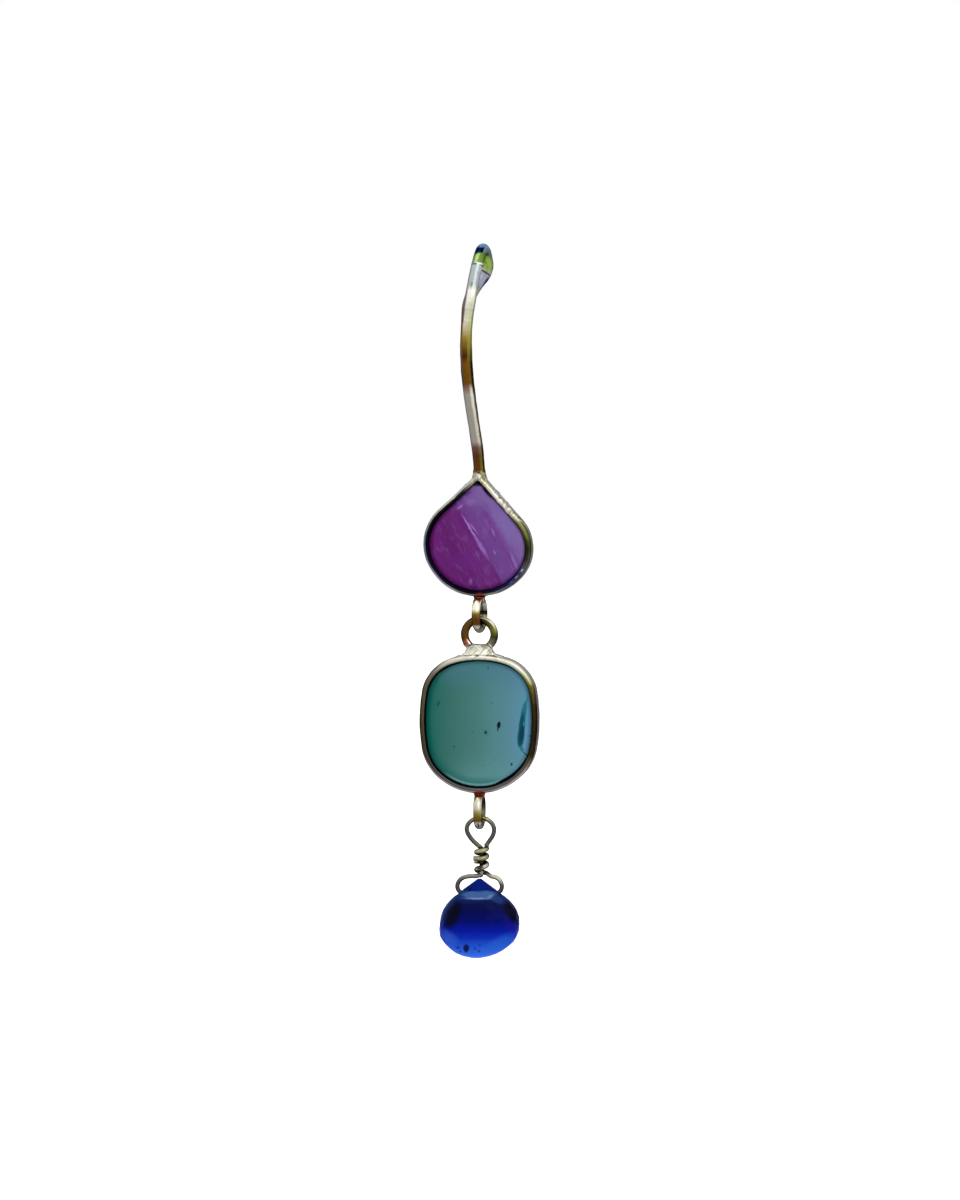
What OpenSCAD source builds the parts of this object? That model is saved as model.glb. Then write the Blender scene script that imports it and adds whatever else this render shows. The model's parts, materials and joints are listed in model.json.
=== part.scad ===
// A drop earring. An ear wire is soldered to a pear-shaped setting, a cushion-shaped
// setting hangs from that one's loop, and a faceted drop hangs below in thin wire.
// Millimetres, Z up. The stones face -Y. The origin is under the top of the ear wire's
// bend, where the earlobe carries it.

/* [Ear wire] */
// Thickness of the ear wire
ear_wire_d = 1.05; // [0.9:0.05:1.1]
// Turn of the ear wire's bend about the vertical, degrees
ear_turn = 6; // [0:1:12]
// Length of the straight end of the back leg
ear_end = 5.2; // [3:0.2:8]

/* [Settings] */
// Depth of a setting from its rim to its back
setting_depth = 2.6; // [2.4:0.1:3.2]
// Thickness of the wall around a stone
setting_wall = 0.35; // [0.3:0.01:0.36]
// Width of the setting below the seat of its stone
seat_width = 0.85; // [0.7:0.05:1]
// How far the rubbed rim reaches in over the stone
rim_reach = 0.52; // [0.46:0.02:0.56]

/* [Loops] */
// Thickness of the wire of the loops below the settings
loop_wire_d = 0.8; // [0.7:0.05:0.85]
// Outer diameter of the loops below the settings
loop_d = 3.5; // [3.4:0.1:3.8]
// Thickness of the wire of the top ring
ring_wire_d = 0.74; // [0.7:0.02:0.8]
// Outer diameter of the top ring
ring_d = 3.45; // [3.3:0.05:3.6]
// Turn of the upper loop about the vertical, its front to the left, degrees
upper_loop_turn = 9; // [0:1:12]
// Turn of the lower loop about the vertical, its front to the left, degrees
lower_loop_turn = 2; // [0:1:12]

/* [Wrapped drop] */
// Thickness of the thin wire
thin_wire_d = 0.41; // [0.36:0.01:0.42]
// Rise of the upper wrap in one turn
upper_pitch = 0.72; // [0.6:0.02:0.74]
// Rise of the lower wrap in one turn
lower_pitch = 0.95; // [0.8:0.05:1]
// Diameter of the hole drilled through the drop
drill_d = 0.62; // [0.58:0.02:0.7]

/* [Hidden] */
$fn = 48;

// Clearance between a stone and the metal, and between two linked wires
stone_gap = 0.06;
link_gap = 0.05;

// The ear wire, from the setting's tip up the front leg, over the bend and down the back
// leg. Each stretch bends evenly by so many degrees backwards and to the right.
LENGTH = 0;
BACKWARDS = 1;
SIDEWAYS = 2;
// Drop from the lobe to the setting's tip, and how deep the wire's foot is in the tip
ear_drop = 19.7;
ear_foot_sink = 0.6;
ear_start_lean = [-12, -1];
ear_bends = [
    // length, backwards, sideways
    [4.3, -12, -8],
    [3.7, 11, 1],
    [3.7, 9, 6],
    [4.3, -8, 11],
    [4, 43, 3],
    [2.1, 35, 4],
    [4.6, 69, 18],
    [1.6, 35, -34],
    [1.6, 11, 10],
    [1.6, -2, 27],
    [8, -10, 10.5],
];
joint_bead = 0.015;
foot_solder_h = 0.8;
foot_solder_r = 0.7;
foot_solder_top_r = ear_wire_d / 2 + 0.02;

// Outlines as arcs, each with its radius and how far it turns, going up a side from the
// middle of the bottom. The pear is a little lopsided and ends in straight sides. The
// cushion's sides are alike, and end in an arc over the top.
RADIUS = 0;
SWEEP = 1;
pear_bottom_r = 5.1;
pear_right = [
    // radius, sweep
    [pear_bottom_r, 48.5],
    [3.97, 83],
];
pear_left = [
    // radius, sweep
    [pear_bottom_r, 66],
    [4.24, 71],
];
cushion_half = [
    // radius, sweep
    [5.55, 44],
    [4.55, 36],
    [15.2, 19.5],
    [3.9, 64.5],
];
facet_sweep = 9;

// Heading and place at the start of arc i of an outline, from the middle of the bottom
function heading(rows, i) = i == 0 ? 0 : heading(rows, i - 1) + rows[i - 1][SWEEP];
function arc_step(r, h0, h1) = r * [sin(h1) - sin(h0), cos(h0) - cos(h1)];
function spot(rows, i) =
    i == 0
        ? [0, 0]
        : spot(rows, i - 1)
            + arc_step(rows[i - 1][RADIUS], heading(rows, i - 1), heading(rows, i));

// The pear's straight sides, from where its arcs end to the tip where the sides meet, and
// the tip's step for each millimetre inwards
right_heading = heading(pear_right, len(pear_right));
left_heading = heading(pear_left, len(pear_left));
right_end = spot(pear_right, len(pear_right));
left_mirrored = spot(pear_left, len(pear_left));
left_end = [-left_mirrored.x, left_mirrored.y];
right_way = [cos(right_heading), sin(right_heading)];
left_way = [-cos(left_heading), sin(left_heading)];
right_side = cross(left_end - right_end, left_way) / cross(right_way, left_way);
pear_tip = right_end + right_side * right_way;
left_side = norm(pear_tip - left_end);
pear_height = pear_tip.y;
tip_step = (right_way + left_way) / sin(right_heading + left_heading);

cushion_spot = spot(cushion_half, len(cushion_half));
cushion_top_sweep = 180 - heading(cushion_half, len(cushion_half));
cushion_top_r = cushion_spot.x / sin(cushion_top_sweep);
cushion_right = concat(cushion_half, [[cushion_top_r, cushion_top_sweep]]);
cushion_height = spot(cushion_right, len(cushion_right)).y;

// A setting's section: how far in from the outline, how far forward, and which way each
// point goes where the section is a hair fuller. Every second stretch of a wall is, and it
// runs a little way over its neighbours, so that no two stretches only touch.
IN = 0;
FORWARD = 1;
FULLER_IN = 2;
FULLER_FORWARD = 3;
front = setting_depth / 2;
seat_h = front - 0.9;
seat_slope = 0.75;
setting_section = [
    // inward, forward, fuller inward, fuller forward
    [0, -front, -1, -1],
    [0, front - 0.38, -1, 0.2],
    [0.05, front - 0.16, -1, 0.5],
    [0.16, front - 0.04, -0.5, 1],
    [0.3, front, 0, 1],
    [0.43, front - 0.05, 0.5, 1],
    [rim_reach, front - 0.18, 1, 0.5],
    [rim_reach, front - 0.36, 1, -1],
    [setting_wall, front - 0.5, 1, -1],
    [setting_wall, seat_h, 1, 1],
    [seat_width, seat_h - seat_slope * (seat_width - setting_wall), 1, 1],
    [seat_width, -front, 1, -1],
];
fuller = 0.012;
run_over = 0.6;
function wall_section(grow) = [
    for (p = setting_section)
        [p[IN] + grow * p[FULLER_IN], p[FORWARD] + grow * p[FULLER_FORWARD]]
];

// A stone's levels from its back to its table, measured like the section
girdle_in = setting_wall + stone_gap;
girdle_low = seat_h + stone_gap;
girdle_high = front - 0.57;
pavilion_in = 2.5;
pavilion_low = girdle_low - seat_slope * (pavilion_in - girdle_in) + 0.05;
amethyst_levels = [
    // inward, forward
    [pavilion_in, pavilion_low],
    [girdle_in, girdle_low],
    [girdle_in, girdle_high],
    [0.95, front - 0.1],
];
aventurine_levels = [
    // inward, forward
    [pavilion_in, pavilion_low],
    [girdle_in, girdle_low],
    [girdle_in, girdle_high],
    [1.3, front + 0.05],
];

// Heights, worked down from the lobe
loop_r = (loop_d - loop_wire_d) / 2;
ring_r = (ring_d - ring_wire_d) / 2;
loop_sink = 0.15;
ring_stand = 0.05;
pear_bottom = -ear_drop - pear_height;
upper_loop_z = pear_bottom - loop_d / 2 + loop_sink;
upper_pivot_z = upper_loop_z - loop_r;
ring_top_z = upper_pivot_z + (loop_wire_d + ring_wire_d) / 2 + link_gap;
ring_z = ring_top_z - ring_r;
cushion_top = ring_z - ring_d / 2 - ring_stand;
cushion_bottom = cushion_top - cushion_height;
lower_loop_z = cushion_bottom - loop_d / 2 + loop_sink;
lower_pivot_z = lower_loop_z - loop_r;
thin_r = thin_wire_d / 2;
thin_top_z = lower_pivot_z + (loop_wire_d + thin_wire_d) / 2 + link_gap;

// Solder around the root of a loop, and the solder neck under the ring
root_solder_r = 0.62;
root_solder_low_r = loop_wire_d / 2 + 0.03;
root_solder_h = 0.8;
neck_depth = 1.5;
neck_sides = [
    // height over the cushion's top, half width
    [0.88, 0.5],
    [0.72, 0.95],
    [0.5, 1.15],
    [0.12, 1.3],
    [-0.04, 1.6],
    [-0.16, 2.1],
    [-0.3, 2.3],
];

// The thin wire's stem, about which it is wrapped, and the drilled hole's height
stem_x = 0.2;
wrap_r = thin_wire_d + link_gap;
wrap_top_z = thin_top_z - 2.78;
wrap_bottom_z = wrap_top_z - 2.2;
drill_z = thin_top_z - 6.85;
pin_half = 1.55;
pin_r = thin_r + 0.01;
wire_sides = 6;
turn_points = 12;
upper_wrap_sweep = 450;
lower_wrap_sweep = 360;
cut_tail = [-0.72, 0.04, 0.02];
wrap_entry = [0.62, 0.4, wrap_bottom_z - 0.1];

// The thin wire's bends, in the front view, measured from its top or from the hole
loop_left = [
    // right, up from the wire's top
    [0.07, 0],
    [-0.44, -0.1],
    [-0.85, -0.35],
    [-1.1, -0.7],
    [-1.17, -1.05],
    [-1.04, -1.48],
    [-0.66, -2.02],
    [-0.24, -2.42],
    [0.08, -2.7],
    [0.2, -3.05],
];
loop_right = [
    // right, up from the wire's top
    [0.64, -2.62],
    [0.68, -2.42],
    [0.93, -2.06],
    [1.21, -1.62],
    [1.34, -1.12],
    [1.24, -0.67],
    [0.96, -0.32],
    [0.55, -0.08],
];
shoulder_left = [
    // right, up from the drilled hole
    [0.17, 1.78],
    [0.02, 1.62],
    [-0.3, 1.54],
    [-0.8, 1.52],
    [-1.3, 1.45],
    [-1.7, 1.25],
    [-1.95, 0.92],
    [-2.03, 0.58],
    [-1.95, 0.28],
    [-1.78, 0.08],
    [-1.5, 0],
    [-1.1, 0],
];
shoulder_right = [
    // right, up from the drilled hole
    [1.1, 0],
    [1.5, 0],
    [1.78, 0.08],
    [1.97, 0.28],
    [2.05, 0.58],
    [1.98, 0.92],
    [1.77, 1.25],
    [1.42, 1.45],
    [1.05, 1.52],
];

// The faceted drop, from its tip down, and the length that the drill runs through it
drill_run = 6;
DOWN = 0;
HALF_WIDTH = 1;
HALF_DEPTH = 2;
MIDDLE = 3;
briolette_sides = 14;
briolette_tip_z = drill_z + 1.42;
briolette_levels = [
    // down from the tip, half width, half depth, middle to the right
    [0.12, 0.16, 0.14, 0],
    [1.42, 1.96, 0.85, 0],
    [2.05, 2.72, 1.3, 0.04],
    [2.95, 3.4, 1.75, 0.05],
    [4.2, 3.68, 2, 0.02],
    [5.4, 3.54, 1.9, -0.1],
    [6.25, 2.88, 1.55, -0.16],
    [6.95, 1.9, 1.05, -0.28],
    [7.36, 0.5, 0.3, -0.32],
];

// Sets a front-view drawing upright, with its height towards the viewer
module upright(z) {
    translate([0, 0, z]) rotate([90, 0, 0]) children();
}

// One stretch of round wire that starts at the origin along +Z, then its children at
// the stretch's far end
module wire_stretch(row, r) {
    bend = norm([row[BACKWARDS], row[SIDEWAYS]]);
    if (bend == 0) {
        cylinder(h = row[LENGTH], r = r);
        translate([0, 0, row[LENGTH]]) children();
    } else {
        towards = atan2(row[BACKWARDS], row[SIDEWAYS]);
        bend_r = row[LENGTH] / bend * 180 / PI;
        rotate([0, 0, towards]) translate([bend_r, 0, 0]) {
            rotate([90, 0, 180]) rotate_extrude(angle = bend) translate([bend_r, 0]) circle(r);
            rotate([0, bend, 0]) translate([-bend_r, 0, 0]) rotate([0, 0, -towards]) children();
        }
    }
}

// Stretches one after another, with a bead a hair wider than the wire at each joint
module wire_run(rows, r, i = 0) {
    if (i < len(rows)) wire_stretch(rows[i], r) {
        if (i < len(rows) - 1) sphere(r + joint_bead);
        wire_run(rows, r, i + 1);
    }
}

// One arc of a setting's wall, starting at the origin along +X with the stone on its
// left, then its children at the arc's end
module wall_arc(row, full) {
    over = full ? run_over : 0;
    translate([0, row[RADIUS], 0]) {
        rotate([0, 0, -90 - over]) rotate_extrude(angle = row[SWEEP] + 2 * over) polygon([
            for (p = wall_section(full ? fuller : 0)) [row[RADIUS] - p.x, p.y]
        ]);
        rotate([0, 0, row[SWEEP]]) translate([0, -row[RADIUS], 0]) children();
    }
}

module wall_arcs(rows, full, i = 0) {
    if (i < len(rows)) wall_arc(rows[i], full) wall_arcs(rows, !full, i + 1);
}

module wall_side(length) {
    rotate([90, 0, 90]) linear_extrude(length) polygon(wall_section(0));
}

module pear_wall() {
    bottom_sweep = pear_left[0][SWEEP] + pear_right[0][SWEEP];
    translate(pear_tip) rotate([0, 0, -left_heading]) wall_side(left_side);
    translate(right_end) rotate([0, 0, right_heading]) wall_side(right_side);
    translate(left_end) rotate([0, 0, -left_heading])
        wall_arcs([pear_left[1], [pear_bottom_r, bottom_sweep], pear_right[1]], full = true);
}

module cushion_wall() {
    bottom = cushion_half[0];
    start = arc_step(bottom[RADIUS], 0, -bottom[SWEEP]);
    right = [cushion_half[1], cushion_half[2], cushion_half[3]];
    left = [cushion_half[3], cushion_half[2], cushion_half[1]];
    top = [[cushion_top_r, 2 * cushion_top_sweep]];
    translate(start) rotate([0, 0, -bottom[SWEEP]])
        wall_arcs(concat([[bottom[RADIUS], 2 * bottom[SWEEP]]], right, top, left), full = false);
}

// A soldered loop seen edge-on from the front, with its bottom on the drop's line
module side_loop(z, turn, root_z) {
    translate([0, 0, z]) rotate([0, 0, -turn]) rotate([90, 0, 90])
        rotate_extrude() translate([loop_r, 0]) circle(d = loop_wire_d);
    translate([0, 0, root_z - root_solder_h / 2 - loop_sink])
        cylinder(h = root_solder_h, r1 = root_solder_low_r, r2 = root_solder_r);
}

// Points of a stone's outline, so far in from the setting's outline
function arc_points(rows, i, inset) =
    let (
        r = rows[i][RADIUS],
        h = heading(rows, i),
        steps = max(1, round(rows[i][SWEEP] / facet_sweep)),
        centre = spot(rows, i) + r * [-sin(h), cos(h)]
    )
    [
        for (k = [0:steps - 1])
            let (t = h + rows[i][SWEEP] * k / steps)
            centre + (r - inset) * [sin(t), -cos(t)]
    ];

function side_points(rows, inset) =
    [for (i = [0:len(rows) - 1]) each arc_points(rows, i, inset)];

function mirrored(points) = [for (k = [len(points) - 1:-1:1]) [-points[k].x, points[k].y]];

function pear_side(rows, inset) =
    let (n = len(rows), h = heading(rows, n))
    concat(side_points(rows, inset), [spot(rows, n) - inset * [sin(h), -cos(h)]]);

function pear_outline(inset) = concat(
    pear_side(pear_right, inset),
    [pear_tip + inset * tip_step],
    mirrored(pear_side(pear_left, inset))
);

function cushion_outline(inset) =
    let (
        top = [0, cushion_height - inset],
        right = side_points(cushion_right, inset)
    )
    concat(right, [top], mirrored(right));

// A closed solid of triangles through rings of points that all have the same count. Where
// a ring is turned on by half a step from the one before, its facets lean the other way.
function band_faces(n, j, lean) = [
    for (k = [0:n - 1])
        let (a = j * n + k, b = j * n + (k + 1) % n, c = a + n, d = b + n)
        each (lean ? [[a, c, b], [b, c, d]] : [[a, c, d], [a, d, b]])
];

module lofted(rings, zigzag = false) {
    n = len(rings[0]);
    m = len(rings);
    polyhedron(
        points = [for (ring = rings) each ring],
        faces = concat(
            [[for (k = [0:n - 1]) k]],
            [for (j = [0:m - 2]) each band_faces(n, j, zigzag && j % 2 == 0)],
            [[for (k = [n - 1:-1:0]) (m - 1) * n + k]]
        ),
        convexity = 6
    );
}

// Round wire as a tube of few sides along a path. Each ring's normal is the last one's,
// turned as little as the path allows.
function unit(v) = v / norm(v);
function run_at(path, i) = unit(path[min(i + 1, len(path) - 1)] - path[max(i - 1, 0)]);
function across(v, along) = unit(v - (v * along) * along);
function path_normals(path) = [
    for (
        i = 0, side = across([0, 1, 1], run_at(path, 0));
        i < len(path);
        i = i + 1, side = i < len(path) ? across(side, run_at(path, i)) : side
    ) side
];

module thin_tube(path) {
    sides = path_normals(path);
    lofted([
        for (i = [0:len(path) - 1])
            let (along = run_at(path, i), other = cross(along, sides[i]))
            [
                for (k = [0:wire_sides - 1])
                    let (t = 360 * k / wire_sides)
                    path[i] + thin_r * (cos(t) * sides[i] + sin(t) * other)
            ]
    ]);
}

// Points of a wrap that starts at an angle about the stem and a height, a turn rising
// by the pitch as the angle grows
function wrap(from, sweep, z, pitch) =
    let (steps = round(abs(sweep) / 360 * turn_points))
    [
        for (k = [0:steps])
            let (t = sweep * k / steps)
            [
                stem_x + wrap_r * cos(from + t),
                wrap_r * sin(from + t),
                z + pitch * t / 360,
            ]
    ];

// Curve through the given points, with its steps between each two
curve_steps = 2;
function curve_point(a, b, c, d, t) =
    (2 * b + (c - a) * t + (2 * a - 5 * b + 4 * c - d) * t * t
        + (3 * b - a - 3 * c + d) * t * t * t) / 2;
function curve(points) = concat(
    [
        for (i = [0:len(points) - 2])
        for (k = [0:curve_steps - 1])
            curve_point(
                points[max(i - 1, 0)], points[i], points[i + 1],
                points[min(i + 2, len(points) - 1)], k / curve_steps
            )
    ],
    [points[len(points) - 1]]
);
function upright_points(points, z) = [for (p = points) [p.x, 0, z + p.y]];

// From the upper wrap's cut end, around, up the loop, down the stem and into the hole
function upper_wire() =
    let (
        turns = wrap(0, -upper_wrap_sweep, wrap_top_z, upper_pitch),
        cut = turns[len(turns) - 1] + [cut_tail.x, -cut_tail.y, cut_tail.z],
        up = [for (k = [len(turns) - 1:-1:0]) turns[k]]
    )
    concat(
        [cut],
        up,
        curve(concat(
            upright_points(loop_right, thin_top_z),
            upright_points(loop_left, thin_top_z),
            upright_points(shoulder_left, drill_z)
        ))
    );

// From the hole up the right shoulder and around to the lower wrap's cut end
function lower_wire() =
    let (
        turns = wrap(90, lower_wrap_sweep, wrap_bottom_z, lower_pitch),
        cut = turns[len(turns) - 1] + cut_tail
    )
    concat(curve(upright_points(shoulder_right, drill_z)), [wrap_entry], turns, [cut]);

module ear_hook() {
    color([0.82, 0.79, 0.66]) {
        translate([0, 0, -ear_drop - ear_foot_sink]) rotate([0, 0, ear_turn])
            rotate([-ear_start_lean[0], ear_start_lean[1], 0]) {
                wire_run(concat(ear_bends, [[ear_end, 0, 0]]), ear_wire_d / 2);
                cylinder(h = foot_solder_h, r1 = foot_solder_r, r2 = foot_solder_top_r);
            }
        upright(pear_bottom) pear_wall();
        side_loop(upper_loop_z, upper_loop_turn, pear_bottom);
    }
}

module amethyst() {
    color([0.44, 0.16, 0.48]) upright(pear_bottom) lofted([
        for (level = amethyst_levels)
            [for (p = pear_outline(level[0])) [p.x, p.y, level[1]]]
    ]);
}

module middle_setting() {
    color([0.82, 0.79, 0.66]) {
        translate([0, 0, ring_z]) rotate([90, 0, 0])
            rotate_extrude() translate([ring_r, 0]) circle(d = ring_wire_d);
        upright(cushion_top) linear_extrude(neck_depth, center = true) polygon(concat(
            [for (row = neck_sides) [row[1], row[0]]],
            [for (k = [len(neck_sides) - 1:-1:0]) [-neck_sides[k][1], neck_sides[k][0]]]
        ));
        upright(cushion_bottom) cushion_wall();
        side_loop(lower_loop_z, lower_loop_turn, cushion_bottom);
    }
}

module aventurine() {
    color([0.25, 0.47, 0.43]) upright(cushion_bottom) lofted([
        for (level = aventurine_levels)
            [for (p = cushion_outline(level[0])) [p.x, p.y, level[1]]]
    ]);
}

module drop_wire() {
    color([0.8, 0.78, 0.7]) {
        thin_tube(upper_wire());
        thin_tube(lower_wire());
        translate([-pin_half, 0, drill_z]) rotate([0, 90, 0]) cylinder(h = 2 * pin_half, r = pin_r);
    }
}

module briolette() {
    color([0.05, 0.12, 0.55]) difference() {
        lofted([
            for (j = [0:len(briolette_levels) - 1])
                let (row = briolette_levels[j], shift = 180 / briolette_sides * (j % 2))
                [
                    for (k = [0:briolette_sides - 1])
                        let (t = -shift - 360 * k / briolette_sides)
                        [
                            row[MIDDLE] + row[HALF_WIDTH] * cos(t),
                            row[HALF_DEPTH] * sin(t),
                            briolette_tip_z - row[DOWN],
                        ]
                ]
        ], zigzag = true);
        translate([0, 0, drill_z]) rotate([0, 90, 0])
            cylinder(h = drill_run, d = drill_d, center = true);
    }
}

ear_hook();
amethyst();
middle_setting();
aventurine();
drop_wire();
briolette();
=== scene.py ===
"""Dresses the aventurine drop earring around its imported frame.

The earring hangs free from the top of its ear wire. Its front faces -Y, Z is up, and every
size below is in millimetres until a mesh is made, which is in metres as the frame is.
"""

import json
import logging
import math
import random
from dataclasses import dataclass
from enum import Enum
from functools import cached_property
from typing import Any, Callable, Iterable, Sequence

import bmesh
import bpy
from mathutils import Matrix, Vector


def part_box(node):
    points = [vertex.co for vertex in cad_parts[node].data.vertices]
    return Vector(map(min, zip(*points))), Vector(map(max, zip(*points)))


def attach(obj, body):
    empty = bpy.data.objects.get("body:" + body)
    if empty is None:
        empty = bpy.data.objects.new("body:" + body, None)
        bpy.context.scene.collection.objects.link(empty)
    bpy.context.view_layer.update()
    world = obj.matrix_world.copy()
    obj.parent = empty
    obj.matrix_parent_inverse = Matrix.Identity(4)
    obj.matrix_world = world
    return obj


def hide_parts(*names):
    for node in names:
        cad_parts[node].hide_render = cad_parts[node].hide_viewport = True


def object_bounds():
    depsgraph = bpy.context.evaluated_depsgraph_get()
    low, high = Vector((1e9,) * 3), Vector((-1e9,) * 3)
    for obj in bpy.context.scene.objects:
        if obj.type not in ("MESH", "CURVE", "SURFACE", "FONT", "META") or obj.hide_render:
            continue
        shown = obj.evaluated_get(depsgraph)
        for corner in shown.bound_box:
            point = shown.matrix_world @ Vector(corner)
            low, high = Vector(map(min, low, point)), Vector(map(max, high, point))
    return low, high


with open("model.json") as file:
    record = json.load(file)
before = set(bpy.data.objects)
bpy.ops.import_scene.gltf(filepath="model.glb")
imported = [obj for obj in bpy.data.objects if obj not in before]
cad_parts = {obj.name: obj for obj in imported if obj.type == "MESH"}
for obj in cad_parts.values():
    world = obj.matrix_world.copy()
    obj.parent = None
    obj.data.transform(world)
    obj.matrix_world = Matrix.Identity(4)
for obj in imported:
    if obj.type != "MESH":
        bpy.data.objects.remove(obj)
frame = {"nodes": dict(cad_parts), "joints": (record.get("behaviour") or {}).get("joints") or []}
CAD_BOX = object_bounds()

MM = 0.001
log = logging.getLogger("earring")

# A colour as it looks on a screen, each part from 0 to 255
Shade = tuple[float, float, float]

# The front view in which marks are placed, turned to the right and seen from above
FRONT_TURN = math.radians(6.0)
FRONT_TIP = math.radians(2.0)

# A hair's breadth, by which lengths are told apart, and the distance that welds points
HAIR = 0.01
WELD = 0.0001

# The curve of a screen's colours: a straight start up to its knee, then a power
SCREEN_KNEE = 0.04045
SCREEN_SLOPE = 12.92
SCREEN_OFFSET = 0.055
SCREEN_POWER = 2.4

# Half the width over which a patch of the far half fades in
FAR_BLEND = 0.1

POLISHED_METAL = {"Metallic": 1.0, "Specular Tint": (140, 140, 140)}


class Slot(Enum):
    """The record's finish slots, which a stone keeps as a field that nothing reads."""

    METAL = "pale_gold"
    WIRE = "wire"
    AMETHYST = "amethyst"
    AVENTURINE = "aventurine"
    BLUE_STONE = "blue_stone"


class Body(Enum):
    """The bodies of the frame."""

    UPPER = "upper"
    MIDDLE = "middle"
    LOWER = "lower"
    BLUE_DROP = "blue_drop"


class Node(Enum):
    """The solids of the frame."""

    EAR_HOOK = "ear_hook"
    AMETHYST = "amethyst"
    MIDDLE_SETTING = "middle_setting"
    AVENTURINE = "aventurine"
    DROP_WIRE = "drop_wire"
    BRIOLETTE = "briolette"


class Joint(Enum):
    """The joints whose pivots a piece is built around."""

    LOWER_SWING = "lower_swing"
    BLUE_DROP_ROCK = "blue_drop_rock"


class Blend(Enum):
    """How one colour is put over another."""

    COVER = "MIX"
    MULTIPLY = "MULTIPLY"


def linear(part: float) -> float:
    """One part of a screen's colour, from 0 to 255, as a shader's, from 0 to 1.

    Args:
        part: The part.

    Returns:
        The share.
    """
    share = part / 255
    if share <= SCREEN_KNEE:
        return share / SCREEN_SLOPE
    return ((share + SCREEN_OFFSET) / (1 + SCREEN_OFFSET)) ** SCREEN_POWER


def paint(shade: Shade) -> tuple[float, float, float, float]:
    """A screen's colour as the shader's linear one."""
    return (*(linear(part) for part in shade), 1.0)


def rows_of(kind: type, *rows: tuple[Any, ...]) -> tuple[Any, ...]:
    """The rows of a table, whose columns are the fields of their kind, in order."""
    return tuple(kind(*row) for row in rows)


def pivot_height(joint: Joint) -> float:
    """Height of a joint's pivot over the origin, in millimetres."""
    (found,) = [row for row in frame["joints"] if row["name"] == joint.value]
    return found["pos_m"][2] / MM


def node_box(node: Node) -> tuple[Vector, Vector]:
    """Lowest and highest corner of a solid, in millimetres."""
    low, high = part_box(node.value)
    return low / MM, high / MM


# The nodes of materials and of geometry


class Term:
    """A value in a node tree, on which Python's operators add Math nodes."""

    def __init__(self, writer: "NodeWriter", socket: bpy.types.NodeSocket) -> None:
        """Wraps a socket of a writer's tree."""
        self.writer = writer
        self.socket = socket

    def _math(self, operation: str, first: Any, second: Any = None) -> "Term":
        """A Math node on one or two values.

        Args:
            operation: The node's operation.
            first: The first value.
            second: The second value, if the operation has one.

        Returns:
            The node's result.
        """
        given = {0: first} if second is None else {0: first, 1: second}
        made = self.writer.node("ShaderNodeMath", given, operation=operation)
        return Term(self.writer, made.outputs[0])

    def __add__(self, other: Any) -> "Term":
        """This value plus another."""
        return self._math("ADD", self, other)

    __radd__ = __add__

    def __sub__(self, other: Any) -> "Term":
        """This value less another."""
        return self._math("SUBTRACT", self, other)

    def __rsub__(self, other: Any) -> "Term":
        """Another value less this one."""
        return self._math("SUBTRACT", other, self)

    def __mul__(self, other: Any) -> "Term":
        """This value times another."""
        return self._math("MULTIPLY", self, other)

    __rmul__ = __mul__

    def __truediv__(self, other: Any) -> "Term":
        """This value over another."""
        return self._math("DIVIDE", self, other)

    def __abs__(self) -> "Term":
        """This value without its sign."""
        return self._math("ABSOLUTE", self)

    def root(self) -> "Term":
        """The square root."""
        return self._math("SQRT", self)

    def most(self, other: Any) -> "Term":
        """The larger of this value and another."""
        return self._math("MAXIMUM", self, other)

    def within(self, low: Any, high: Any) -> "Term":
        """1 where this value is between two others, and 0 elsewhere."""
        return self._math("GREATER_THAN", self, low) * self._math("LESS_THAN", self, high)

    def turn_to(self, other: "Term") -> "Term":
        """The angle whose tangent is this value over another, as a share of a turn."""
        turns = self._math("ARCTAN2", self, other) / math.tau + 1.0
        return turns._math("FRACT", turns)

    def rise(self, low: float, high: float) -> "Term":
        """A smooth step from 0 at low to 1 at high.

        Args:
            low: The value at which the step is 0. It may be the larger one.
            high: The value at which the step is 1.

        Returns:
            The step.
        """
        ends = {"Value": self, "From Min": low, "From Max": high}
        how = {"interpolation_type": "SMOOTHSTEP", "clamp": True}
        made = self.writer.node("ShaderNodeMapRange", ends, **how)
        return Term(self.writer, made.outputs["Result"])


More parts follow.
